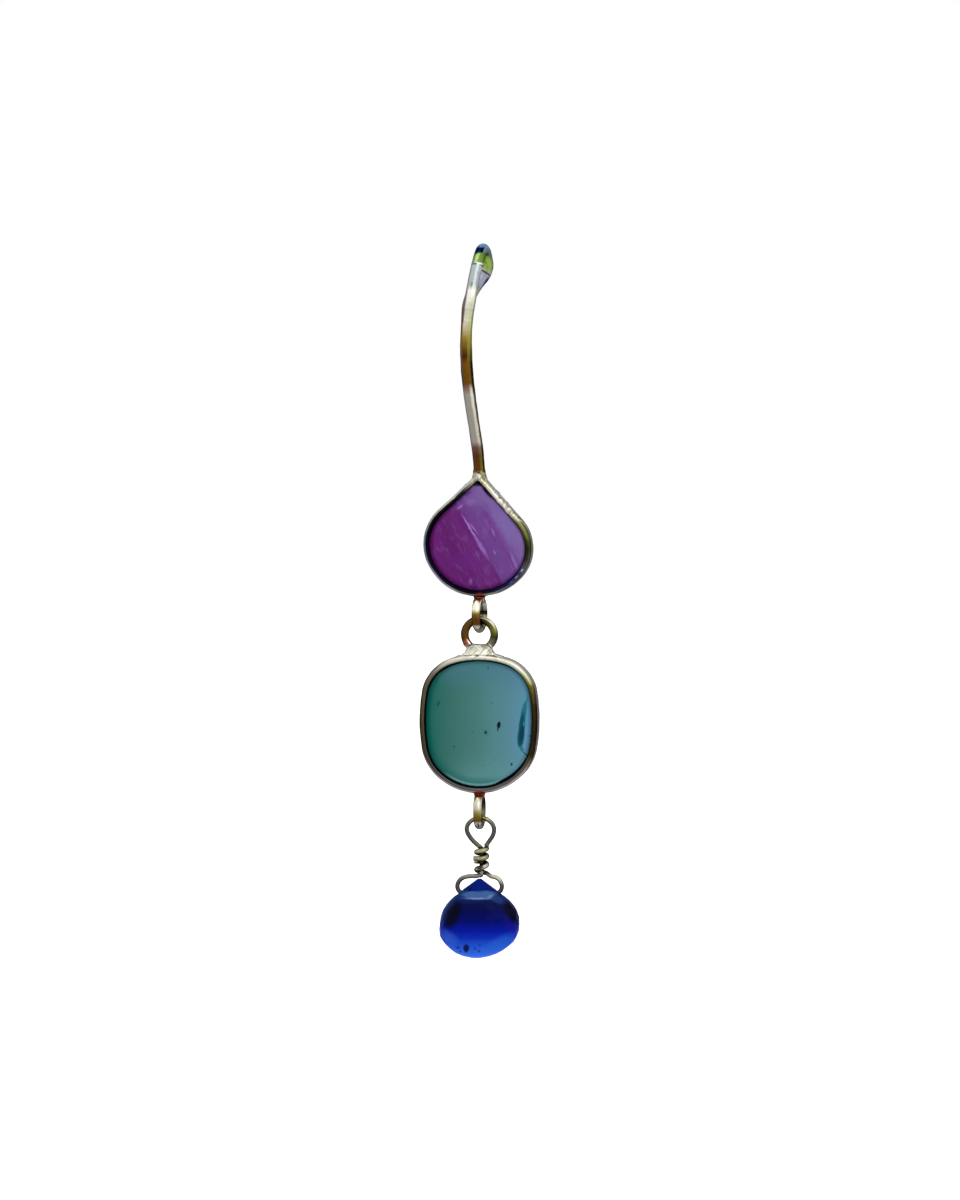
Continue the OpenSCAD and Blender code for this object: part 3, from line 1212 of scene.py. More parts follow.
@dataclass(frozen=True)
class SpeckledAventurine:
    """Green quartz, emerald at its left edge and blue-grey at its right, where the colour is
    partly a painted reflection, with dark specks.
    """

    name: str
    middle_z: float
    specks_and_reflection: tuple[Patch, ...]
    # From emerald at the left to blue-grey at the right, where the colour is partly a painted
    # reflection
    bands: tuple[tuple[float, Shade], ...] = (
        (-5.0, (2, 73, 65)),
        (-4.5, (9, 82, 73)),
        (-3.9, (30, 86, 78)),
        (-2.3, (48, 93, 87)),
        (-0.2, (58, 102, 99)),
        (1.2, (65, 110, 112)),
        (2.6, (71, 113, 125)),
        (4.2, (74, 119, 140)),
    )
    top: Shade = (56, 99, 115)
    bottom: Shade = (76, 121, 121)
    # A near-black line inside the rim: painted shade of the gap between stone and rim
    edge: Shade = (6, 12, 18)
    bevel_highlight: Shade = (92, 140, 142)
    dark_line: Shade = (10, 84, 76)
    front_from: tuple[float, float] = (-0.3, -0.5)

    def material(self) -> bpy.types.Material:
        """Writes the material.

        Returns:
            The material.
        """
        p = Paint(self.name, self.middle_z)
        cloud = p.noise(p.here, 0.35, 3.0) - 0.5
        colour = p.levels(p.across + cloud * 0.7, self.bands)
        colour = p.mix(p.up.rise(2.0, 5.6) * p.across.rise(-4.2, -2.0) * 0.6, colour, self.top)
        colour = p.mix(p.up.rise(-2.0, -5.4) * p.across.rise(-3.6, 0.0) * 0.6, colour, self.bottom)
        colour = p.patched(colour, self.specks_and_reflection)
        rim = p.attribute("bevel")
        lower_left = (p.across * -0.55 - p.up * 0.83).rise(2.6, 4.2)
        colour = p.mix(rim.rise(1.3, 1.0) * lower_left * 0.5, colour, self.dark_line)
        foot = p.up.rise(-4.2, -5.2)
        # A thin painted highlight along the bevel at the foot
        colour = p.mix(rim.rise(0.72, 0.6) * foot, colour, self.bevel_highlight)
        lower_right = (p.across * 0.6 - p.up * 0.8).rise(4.6, 5.6) * p.across.rise(1.2, 2.2)
        upper_left = (p.up * 0.75 - p.across * 0.65).rise(4.9, 5.9)
        head = p.up.rise(4.4, 5.2)
        # Painted shade in the gap under the rim
        reach = 0.26 + 0.1 * foot + 0.3 * lower_right + 0.2 * head + 0.12 * upper_left
        rim_gap_shade = (rim - reach).rise(0.06, -0.06)
        colour = p.mix(rim_gap_shade * p.y.rise(*self.front_from), colour, self.edge)
        varying = {"Base Color": colour, "Roughness": 0.14 + 0.1 * (cloud + 0.5)}
        return p.surface(varying, {"IOR": 1.54, "Specular IOR Level": 0.07})


@dataclass(frozen=True)
class CobaltGlass:
    """Deep blue glassy stone: painted shade near black at its shoulders, and painted light, azure,
    at its foot.
    """

    name: str
    hole_z: float
    down: tuple[tuple[float, Shade], ...]
    patches: tuple[Patch, ...]

    def material(self) -> bpy.types.Material:
        """Writes the material.

        Returns:
            The material.
        """
        p = Paint(self.name, self.hole_z)
        cloud = p.noise(p.here, 0.55, 2.0) - 0.5
        colour = p.levels(p.up + cloud * 0.5, self.down)
        colour = p.patched(colour, self.patches)
        varying = {"Base Color": colour, "Roughness": 0.1 + 0.06 * (cloud + 0.5)}
        return p.surface(varying, {"IOR": 1.6, "Specular IOR Level": 0.025})


# Pieces


class SolderMarks(PieceTree):
    """Short ridges of solder, crossing each other on the faces inside a box."""

    RIDGE_SEGMENTS = 8
    RIDGE_RINGS = 6
    SPIN_SEED = 3

    def __init__(self) -> None:
        """Writes the tree."""
        kinds = {"Density": "Float", "Length": "Float", "Width": "Float", "Seed": "Int"}
        super().__init__("solder_marks", {**kinds, "Low": "Vector", "High": "Vector"})
        inputs = {label: self.given[label] for label in ("Density", "Seed")}
        inputs.update({"Mesh": self.given["Geometry"], "Selection": self._inside()})
        kind = "GeometryNodeDistributePointsOnFaces"
        spread = self.node(kind, inputs, distribute_method="RANDOM")
        form = {"Segments": self.RIDGE_SEGMENTS, "Rings": self.RIDGE_RINGS, "Radius": 0.5}
        ridge = self.node("GeometryNodeMeshUVSphere", form)
        chance = {"Min": 0.0, "Max": math.pi, "Seed": self.SPIN_SEED}
        angle = self.node("FunctionNodeRandomValue", chance, data_type="FLOAT")
        spin = self.vector(0.0, 0.0, Term(self, angle.outputs[1]))
        inputs = {"Rotation": spread.outputs["Rotation"], "Rotate By": spin}
        turned = self.node("FunctionNodeRotateRotation", inputs, rotation_space="LOCAL")
        length, width = self.term("Length"), self.term("Width")
        inputs = {
            "Points": spread.outputs["Points"],
            "Instance": ridge.outputs["Mesh"],
            "Rotation": turned.outputs[0],
            "Scale": self.vector(length, width, width),
        }
        placed = self.node("GeometryNodeInstanceOnPoints", inputs)
        joined = self.node("GeometryNodeJoinGeometry")
        self.tree.links.new(placed.outputs[0], joined.inputs[0])
        self.tree.links.new(self.given["Geometry"], joined.inputs[0])
        self.finish(joined.outputs[0])

    def _inside(self) -> Term:
        """Whether a face's middle is in the box.

        Returns:
            1 inside the box and 0 outside it.
        """
        place = self.parts(self.node("GeometryNodeInputPosition").outputs[0])
        low, high = self.parts(self.given["Low"]), self.parts(self.given["High"])
        x, y, z = (at.within(*ends) for at, *ends in zip(place, low, high))
        return x * y * z


class HandWork(PieceTree):
    """Small unevenness all over a surface, from soft noise along its normals."""

    def __init__(self) -> None:
        """Writes the tree."""
        super().__init__("hand_work", {"Depth": "Float", "Scale": "Float"})
        inputs = {"Scale": self.given["Scale"], "Detail": 2.0}
        noise = self.node("ShaderNodeTexNoise", inputs, noise_dimensions="3D")
        height = (Term(self, noise.outputs[0]) - 0.5) * self.term("Depth")
        normal = self.node("GeometryNodeInputNormal").outputs[0]
        step = self.node("ShaderNodeVectorMath", {0: normal, "Scale": height}, operation="SCALE")
        inputs = {"Geometry": self.given["Geometry"], "Offset": step.outputs[0]}
        moved = self.node("GeometryNodeSetPosition", inputs)
        self.finish(moved.outputs[0])


class WireTube(PieceTree):
    """Round wire along the edges of a mesh, by the width that its points hold."""

    def __init__(self) -> None:
        """Writes the tree."""
        super().__init__("wire_tube", {"Radius": "Float", "Sides": "Int"})
        path = self.node("GeometryNodeMeshToCurve", {"Mesh": self.given["Geometry"]})
        inputs = {"Resolution": self.given["Sides"], "Radius": self.given["Radius"]}
        ring = self.node("GeometryNodeCurvePrimitiveCircle", inputs, mode="RADIUS")
        width = self.node("GeometryNodeInputNamedAttribute", {"Name": "width"}, data_type="FLOAT")
        inputs = {"Curve": path.outputs[0], "Profile Curve": ring.outputs[0]}
        inputs.update({"Scale": width.outputs[0], "Fill Caps": True})
        tube = self.node("GeometryNodeCurveToMesh", inputs)
        self.finish(tube.outputs[0])


@dataclass(frozen=True)
class Lump:
    """A lump of solder: its middle and its half sizes."""

    middle: tuple[float, float, float]
    half: tuple[float, float, float]


@dataclass
class SolderedMetal:
    """A metal piece whose wire, wall and loops are soldered into one body."""

    name: str
    node: Node
    body: Body
    finish: HandWorkedMetal
    marks_low: tuple[float, float, float]
    marks_high: tuple[float, float, float]
    marks_per_square: float
    lumps: tuple[Lump, ...]
    seed: int
    lump_segments: int = 20
    lump_rings: int = 12
    marks_length: float = 0.62
    marks_width: float = 0.15
    voxel: float = 0.08
    smoothing: float = 0.5
    smoothings: int = 6
    unevenness: float = 0.07
    uneven_spots: float = 0.8

    def _fused(self) -> bpy.types.Object:
        """A welded copy of the solid with its lumps of solder.

        Returns:
            The piece.
        """
        form = bmesh.new()
        form.from_mesh(frame["nodes"][self.node.value].data)
        bmesh.ops.remove_doubles(form, verts=form.verts, dist=WELD * MM)
        solid = set(form.faces)
        for lump in self.lumps:
            place = Matrix.Translation(Vector(lump.middle) * MM)
            size = Matrix.Diagonal((*(Vector(lump.half) * MM), 1.0))
            bmesh.ops.create_uvsphere(
                form,
                u_segments=self.lump_segments,
                v_segments=self.lump_rings,
                radius=1.0,
                matrix=place @ size,
            )
        sort_added(form, solid)
        return from_form(self.name, form)

    def build(self) -> None:
        """Makes the piece from its fused form, its solder marks and its unevenness."""
        piece = self._fused()
        material = self.finish.material()
        SolderMarks().put_on(
            piece,
            {
                "Density": self.marks_per_square / MM**2,
                "Length": self.marks_length * MM,
                "Width": self.marks_width * MM,
                "Seed": self.seed,
                "Low": tuple(Vector(self.marks_low) * MM),
                "High": tuple(Vector(self.marks_high) * MM),
                "Material": material,
            },
        )
        remesh = piece.modifiers.new("fuse", "REMESH")
        remesh.mode = "VOXEL"
        remesh.voxel_size = self.voxel * MM
        smooth = piece.modifiers.new("polish", "SMOOTH")
        smooth.factor = self.smoothing
        smooth.iterations = self.smoothings
        HandWork().put_on(
            piece,
            {
                "Depth": self.unevenness * MM,
                "Scale": self.uneven_spots / MM,
                "Material": material,
            },
        )
        make_plain(piece)
        keep_directions(piece)
        dress(piece, material, smooth=True)
        hand_over(piece, self.body, self.node)


@dataclass
class SetStone:
    """A flat-topped stone in its setting, whose sides follow the setting's outline.

    The bevel attribute is 0 at the rim of the setting, 1 at the table's edge and more
    towards the table's middle.
    """

    name: str
    node: Node
    body: Body
    slot: Slot
    outline: Outline
    material: Callable[[], bpy.types.Material]
    bottom_z: float
    table_forward: float
    bevel_left: float
    bevel_right: float
    dome: float = 0.0
    uneven: float = 0.0
    facet_steps: int = 4
    girdle_in: float = 0.41
    girdle_low: float = 0.46
    girdle_edge: float = 0.02
    girdle_high: float = 0.73
    back_in: float = 2.5
    back_forward: float = -1.05
    step: float = 0.28
    seed: int = 11
    rings_of_table: tuple[float, ...] = (0.93, 0.8, 0.62, 0.42, 0.2)
    middle_value: float = 4.0

    def _rings(self) -> tuple[list[list[Vector]], list[list[float]]]:
        """The stone's rings from its back to the middle of its table, and their bevels.

        Returns:
            The rings, and a bevel for each of their points.
        """
        stations = self.outline.stations(self.step)
        chance = random.Random(self.seed)
        count = len(stations)
        knots = [chance.uniform(-1, 1) for _ in range(count // self.facet_steps + 1)]

        def insets(k: int) -> float:
            """How far in the table's edge is at a station.

            Args:
                k: The station's number.

            Returns:
                The distance.
            """
            leftness = stations[k].inward.x + stations[k].inward.y
            share = min(max(0.5 + leftness / 2, 0), 1)
            knot, part = divmod(k, self.facet_steps)
            jitter = knots[knot] * (1 - part / self.facet_steps)
            jitter += knots[(knot + 1) % len(knots)] * part / self.facet_steps
            width = self.bevel_right + (self.bevel_left - self.bevel_right) * share
            return width + self.uneven * jitter

        def ring(inset: Callable[[int], float], forward: float) -> list[Vector]:
            """One ring, so far in and so far forward."""
            flat = [stations[k].inset(inset(k)) for k in range(count)]
            return [Vector((p.x, -forward, self.bottom_z + p.y)) for p in flat]

        rings = [
            self._faceted(ring(lambda k: self.back_in, self.back_forward)),
            self._faceted(ring(lambda k: self.girdle_in, self.girdle_low)),
            ring(lambda k: self.girdle_in, self.girdle_low + self.girdle_edge),
            ring(lambda k: self.girdle_in, self.girdle_high),
            ring(insets, self.table_forward),
        ]
        bevels = [[0.0] * count for _ in range(4)] + [[1.0] * count]
        edge = rings[-1]
        middle = Vector((0.0, -self.table_forward, sum(p.z for p in edge) / count))
        for share in self.rings_of_table:
            rise = self.dome * (1 - share * share)
            rings.append([middle + (p - middle) * share - Vector((0, rise, 0)) for p in edge])
            bevels.append([1.0 + (self.middle_value - 1.0) * (1 - share)] * count)
        return rings, bevels

    def _faceted(self, ring: list[Vector]) -> list[Vector]:
        """The ring with its points moved onto straight sides between every few of them.

        Args:
            ring: The ring.

        Returns:
            The moved points.
        """
        count, span = len(ring), self.facet_steps
        moved = []
        for k in range(count):
            start = k - k % span
            end = min(start + span, count)
            share = (k - start) / (end - start)
            moved.append(ring[start].lerp(ring[end % count], share))
        return moved

    def build(self) -> None:
        """Makes the stone."""
        rings, bevels = self._rings()
        count = len(rings[0])
        points = [point for ring in rings for point in ring]
        faces = [tuple(range(count))]
        for j in range(len(rings) - 1):
            for k in range(count):
                a, b = j * count + k, j * count + (k + 1) % count
                faces.append((a, a + count, b + count, b))
        last = (len(rings) - 1) * count
        middle = sum((p for p in rings[-1]), Vector()) / count
        points.append(middle)
        faces += [(last + k, len(points) - 1, last + (k + 1) % count) for k in range(count)]
        piece = make_piece(self.name, points, faces)
        turn_outwards(piece.data)
        values = [value for ring in bevels for value in ring] + [self.middle_value]
        piece.data.attributes.new("bevel", "FLOAT", "POINT").data.foreach_set("value", values)
        dress(piece, self.material(), smooth=False)
        self._smooth_table(piece.data)
        hand_over(piece, self.body, self.node)

    def _smooth_table(self, mesh: bpy.types.Mesh) -> None:
        """Shades the table smoothly and leaves the facets flat.

        Args:
            mesh: The stone's mesh.
        """
        front = -(self.table_forward - HAIR) * MM
        for face in mesh.polygons:
            face.use_smooth = all(mesh.vertices[v].co.y < front for v in face.vertices)


@dataclass(frozen=True)
class Wrap:
    """A wrap about the stem: its first angle, its sweep and its rise in a turn."""

    start: float
    sweep: float
    pitch: float


@dataclass
class WrappedWire:
    """The thin wire: its loop, its wraps, its shoulders and the stretch in the stone."""

    name: str = "wrapped_wire"
    radius: float = 0.205
    sides: int = 14
    stem_x: float = 0.2
    link_gap: float = 0.05
    pressed: float = 1.2
    turn_points: int = 24
    loop_wire: float = 0.8
    cut_tail: tuple[float, float, float] = (-0.72, 0.04, 0.02)
    wraps_below_loop: float = 2.78
    between_wraps: float = 2.2
    lower_entry: tuple[float, float, float] = (0.62, 0.4, -0.1)
    upper_wrap: Wrap = Wrap(0, -450, 0.72)
    lower_wrap: Wrap = Wrap(90, 360, 0.95)
    # Each bend is a step to the right and a step up, from the loop's top or from the hole
    loop_right: tuple[tuple[float, float], ...] = (
        (0.64, -2.62), (0.68, -2.42), (0.93, -2.06), (1.21, -1.62),
        (1.34, -1.12), (1.24, -0.67), (0.96, -0.32), (0.55, -0.08),
    )
    loop_left: tuple[tuple[float, float], ...] = (
        (0.07, 0), (-0.44, -0.1), (-0.85, -0.35), (-1.1, -0.7), (-1.17, -1.05),
        (-1.04, -1.48), (-0.66, -2.02), (-0.24, -2.42), (0.08, -2.7), (0.2, -3.05),
    )
    shoulder_left: tuple[tuple[float, float], ...] = (
        (0.17, 1.78), (0.02, 1.62), (-0.3, 1.54), (-0.8, 1.52), (-1.3, 1.45), (-1.7, 1.25),
        (-1.95, 0.92), (-2.03, 0.58), (-1.95, 0.28), (-1.78, 0.08), (-1.5, 0), (-1.1, 0),
    )
    shoulder_right: tuple[tuple[float, float], ...] = (
        (1.1, 0), (1.5, 0), (1.78, 0.08), (1.97, 0.28), (2.05, 0.58),
        (1.98, 0.92), (1.77, 1.25), (1.42, 1.45), (1.05, 1.52),
    )

    def _wrap(self, wrap: Wrap, z: float) -> list[Vector]:
        """Points of a wrap about the stem.

        Args:
            wrap: The wrap, which rises as its angle grows.
            z: Its height at the first angle.

        Returns:
            The points.
        """
        count = round(abs(wrap.sweep) / 360 * self.turn_points)
        reach = 2 * self.radius + self.link_gap
        found = []
        for k in range(count + 1):
            turn = wrap.sweep * k / count
            angle = math.radians(wrap.start + turn)
            across = Vector((math.cos(angle), math.sin(angle), 0)) * reach
            found.append(Vector((self.stem_x, 0, z + wrap.pitch * turn / 360)) + across)
        return found

    @staticmethod
    def _curve(points: list[Vector], steps: int = 4) -> list[Vector]:
        """A smooth curve through points, with so many steps between each two.

        Args:
            points: The points.
            steps: The steps between each two.

        Returns:
            The curve's points.
        """
        found = []
        for i in range(len(points) - 1):
            a, b = points[max(i - 1, 0)], points[i]
            c, d = points[i + 1], points[min(i + 2, len(points) - 1)]
            for k in range(steps):
                t = k / steps
                square = (2 * a - 5 * b + 4 * c - d) * t * t
                cube = (3 * b - a - 3 * c + d) * t * t * t
                found.append((2 * b + (c - a) * t + square + cube) / 2)
        return found + [points[-1]]

    def _paths(self) -> list[list[Vector]]:
        """The wire's two paths, from the upper wrap into the hole and out of it again.

        Returns:
            The points of each path.
        """
        bearing = self.loop_wire / 2 + self.radius + self.link_gap
        top = pivot_height(Joint.LOWER_SWING) + bearing
        hole = pivot_height(Joint.BLUE_DROP_ROCK)
        wrap_top = top - self.wraps_below_loop
        wrap_bottom = wrap_top - self.between_wraps

        def upright(rows: Sequence[tuple[float, float]], z: float) -> list[Vector]:
            """Front-view points at a height."""
            return [Vector((x, 0, z + up)) for x, up in rows]

        turns = self._wrap(self.upper_wrap, wrap_top)
        tail = Vector(self.cut_tail)
        cut = turns[-1] + Vector((tail.x, -tail.y, tail.z))
        bends = upright(self.loop_right, top) + upright(self.loop_left, top)
        bends += upright(self.shoulder_left, hole) + [Vector((0, 0, hole))]
        upper = [cut] + turns[::-1] + self._curve(bends)
        turns = self._wrap(self.lower_wrap, wrap_bottom)
        entry = Vector(self.lower_entry) + Vector((0, 0, wrap_bottom))
        bends = [Vector((0, 0, hole))] + upright(self.shoulder_right, hole)
        lower = self._curve(bends) + [entry] + turns + [turns[-1] + tail]
        return [upper, lower]

    def _width(self, point: Vector) -> float:
        """The wire's width at a point, as a share: the wraps are pressed a little wider.

        Args:
            point: The point.

        Returns:
            The share.
        """
        reach = math.hypot(point.x - self.stem_x, point.y)
        wrapped = abs(reach - 2 * self.radius - self.link_gap) < HAIR
        return self.pressed if wrapped else 1.0

    def build(self) -> None:
        """Makes the wire."""
        points: list[Vector] = []
        edges: list[tuple[int, int]] = []
        for path in self._paths():
            start = len(points)
            points += path
            edges += [(k, k + 1) for k in range(start, len(points) - 1)]
        piece = make_piece(self.name, points, [], edges)
        widths = [self._width(point) for point in points]
        piece.data.attributes.new("width", "FLOAT", "POINT").data.foreach_set("value", widths)
        material = self.finish().material()
        WireTube().put_on(
            piece, {"Radius": self.radius * MM, "Sides": self.sides, "Material": material}
        )
        make_plain(piece)
        keep_directions(piece)
        dress(piece, material, smooth=True)
        hand_over(piece, Body.LOWER, Node.DROP_WIRE)

    def finish(self) -> DrawnWire:
        """The wire's finish.

        Returns:
            The finish.
        """
        # Face colours down the wire, and darker edge colours that are painted shade
        rows = rows_of(
            ThinShade,
            (7.0, (150, 146, 110), (72, 68, 52)),
            (6.4, (102, 99, 90), (46, 44, 44)),
            (5.6, (84, 82, 84), (38, 38, 40)),
            (4.8, (92, 89, 88), (46, 43, 43)),
            (4.2, (112, 110, 78), (62, 59, 44)),
            (3.8, (196, 196, 150), (88, 84, 66)),
            (3.4, (140, 142, 92), (84, 80, 68)),
            (2.9, (184, 174, 158), (84, 78, 70)),
            (2.3, (196, 190, 170), (72, 68, 58)),
            (1.9, (156, 150, 138), (76, 73, 66)),
            (1.2, (94, 91, 87), (43, 42, 42)),
            (0.2, (70, 69, 72), (36, 36, 40)),
        )
        # Painted shade on the stem between the wraps, then painted highlights on the wire
        patches = rows_of(
            Patch,
            (0.0, 2.5, 0.36, 0.3, 20, 0.3, 0.1, (18, 17, 8), 0.9),
            (1.5, 1.4, 0.6, 0.32, -35, 0.6, 0, (206, 206, 180), 0.7),
            (-0.9, 1.5, 0.7, 0.2, 0, 0.6, 0, (150, 142, 132), 0.6),
            (0.6, 7.0, 0.35, 0.3, -30, 0.5, 0, (190, 188, 140), 0.5),
        )
        hole = pivot_height(Joint.BLUE_DROP_ROCK)
        return DrawnWire("drawn_wire", hole, self.stem_x, rows, patches)


@dataclass
class BlueDrop:
    """The drilled, faceted blue drop."""

    name: str = "blue_briolette"
    sides: int = 18
    drill_radius: float = 0.31
    drill_sides: int = 24
    drill_length: float = 6.0
    tip_over_hole: float = 1.42
    # Each level is a step down from the tip, a half width, a half depth and its middle's
    # place to the right
    levels: tuple[tuple[float, float, float, float], ...] = (
        (0.12, 0.16, 0.14, 0), (0.8, 1.1, 0.5, 0), (1.42, 1.96, 0.85, 0),
        (2.05, 2.72, 1.3, 0.04), (2.5, 3.1, 1.55, 0.05), (2.95, 3.4, 1.75, 0.05),
        (3.58, 3.6, 1.92, 0.04), (4.2, 3.68, 2, 0.02), (4.8, 3.66, 1.98, -0.04),
        (5.4, 3.54, 1.9, -0.1), (5.85, 3.26, 1.74, -0.13), (6.25, 2.88, 1.55, -0.16),
        (6.62, 2.43, 1.32, -0.22), (6.95, 1.9, 1.05, -0.28), (7.2, 1.25, 0.7, -0.31),
        (7.36, 0.5, 0.3, -0.32),
    )

    def build(self) -> None:
        """Makes the stone and drills it."""
        hole = pivot_height(Joint.BLUE_DROP_ROCK)
        count = self.sides
        points = []
        for j, (down, width, depth, middle) in enumerate(self.levels):
            for k in range(count):
                angle = -math.tau * (k + 0.5 * (j % 2)) / count
                z = hole + self.tip_over_hole - down
                across = middle + width * math.cos(angle)
                points.append(Vector((across, depth * math.sin(angle), z)))
        faces: list[tuple[int, ...]] = [tuple(range(count))]
        for j in range(len(self.levels) - 1):
            for k in range(count):
                a, b = j * count + k, j * count + (k + 1) % count
                c, d = a + count, b + count
                faces += [(a, c, b), (b, c, d)] if j % 2 == 0 else [(a, c, d), (a, d, b)]
        faces.append(tuple(range((len(self.levels) - 1) * count, len(points)))[::-1])
        piece = make_piece(self.name, points, faces)
        turn_outwards(piece.data)
        drill = self._drill(hole)
        cut = piece.modifiers.new("drilled", "BOOLEAN")
        cut.operation = "DIFFERENCE"
        cut.solver = "EXACT"
        cut.object = drill
        make_plain(piece)
        bpy.data.objects.remove(drill)
        dress(piece, self.finish(hole).material(), smooth=False)
        hand_over(piece, Body.BLUE_DROP, Node.BRIOLETTE)

    def _drill(self, hole: float) -> bpy.types.Object:
        """A round bar where the drill goes.

        Args:
            hole: The drill's height.

        Returns:
            The bar.
        """
        form = bmesh.new()
        place = Matrix.Translation(Vector((0, 0, hole)) * MM)
        aim = place @ Matrix.Rotation(math.pi / 2, 4, "Y")
        bmesh.ops.create_cone(
            form,
            cap_ends=True,
            segments=self.drill_sides,
            radius1=self.drill_radius * MM,
            radius2=self.drill_radius * MM,
            depth=self.drill_length * MM,
            matrix=aim,
        )
        return from_form("drill", form)

    @staticmethod
    def finish(hole: float) -> CobaltGlass:
        """The stone's finish.

        Args:
            hole: The drilled hole's height.

        Returns:
            The finish.
        """
        # Painted shade and light down the stone in place of light through the glass: dark at its
        # shoulders, azure at its foot
        down = (
            (1.5, (4, 34, 98)),
            (0.3, (2, 22, 92)),
            (-0.5, (12, 26, 84)),
            (-0.9, (5, 10, 58)),
            (-1.6, (1, 5, 66)),
            (-2.4, (0, 6, 86)),
            (-3.3, (2, 16, 128)),
            (-4.0, (6, 34, 144)),
            (-4.7, (22, 62, 165)),
            (-5.9, (42, 90, 186)),
        )
        # Near-black patches at the shoulders are painted shade, the azure patches low down are
        # painted light, and a pale band where the drilled hole shows through has a painted
        # highlight along its lower rim and a light spot at its right
        patches = rows_of(
            Patch,
            (-3.0, -1.6, 0.35, 1.3, -28, 0.6, 0, (12, 40, 99), 0.7),
            (-2.45, -1.95, 0.6, 1.25, -26, 0.4, 0.2, (2, 2, 21), 0.97),
            (2.95, -2.6, 0.5, 1.2, 10, 0.6, 0, (19, 11, 113), 0.5),
            (2.86, -1.7, 0.48, 1.1, 33, 0.4, 0.2, (2, 2, 23), 0.97),
            (-2.75, -4.0, 0.85, 0.45, -35, 0.7, 0.2, (36, 72, 160), 0.7),
            (1.9, -4.45, 1.3, 0.5, 25, 0.7, 0.2, (26, 74, 162), 0.7),
            (1.5, -0.42, 0.75, 0.3, -25, 0.6, 0, (30, 58, 109), 0.7),
            (-1.6, -0.05, 0.5, 0.3, 30, 0.6, 0, (16, 49, 99), 0.7),
            (-0.05, -0.06, 1.5, 0.34, 2, 0.22, 0, (58, 90, 142), 0.9),
            (-0.2, -0.42, 1.1, 0.08, 0, 0.6, 0.1, (109, 137, 171), 0.7),
            (0.95, -0.25, 0.3, 0.14, 25, 0.5, 0, (102, 128, 165), 0.6),
            (-0.1, 0.82, 1.05, 0.62, 0, 0.3, 0, (0, 22, 104), 0.95),
            (-0.86, 0.38, 0.2, 0.16, 0, 0.4, 0.1, (2, 12, 58), 0.95),
            (-0.45, 0.3, 0.2, 0.07, 0, 0.5, 0, (4, 18, 70), 0.7),
            (-1.22, -4.95, 0.27, 0.4, -10, 0.3, 0.2, (4, 9, 55), 0.95),
            (-1.95, -4.9, 0.16, 0.12, 30, 0.4, 0.1, (7, 23, 84), 0.8),
            (-1.75, -5.25, 0.1, 0.1, 0, 0.4, 0, (7, 23, 84), 0.7),
            (-0.4, -4.95, 0.15, 0.1, -30, 0.4, 0.1, (11, 26, 106), 0.75),
            (0.05, -4.65, 0.1, 0.12, 0, 0.4, 0, (11, 26, 106), 0.6),
            (-0.05, -5.2, 0.12, 0.12, 0, 0.4, 0.1, (11, 26, 106), 0.7),
        )
        return CobaltGlass("cobalt_glass", hole, down, patches)


# The studio


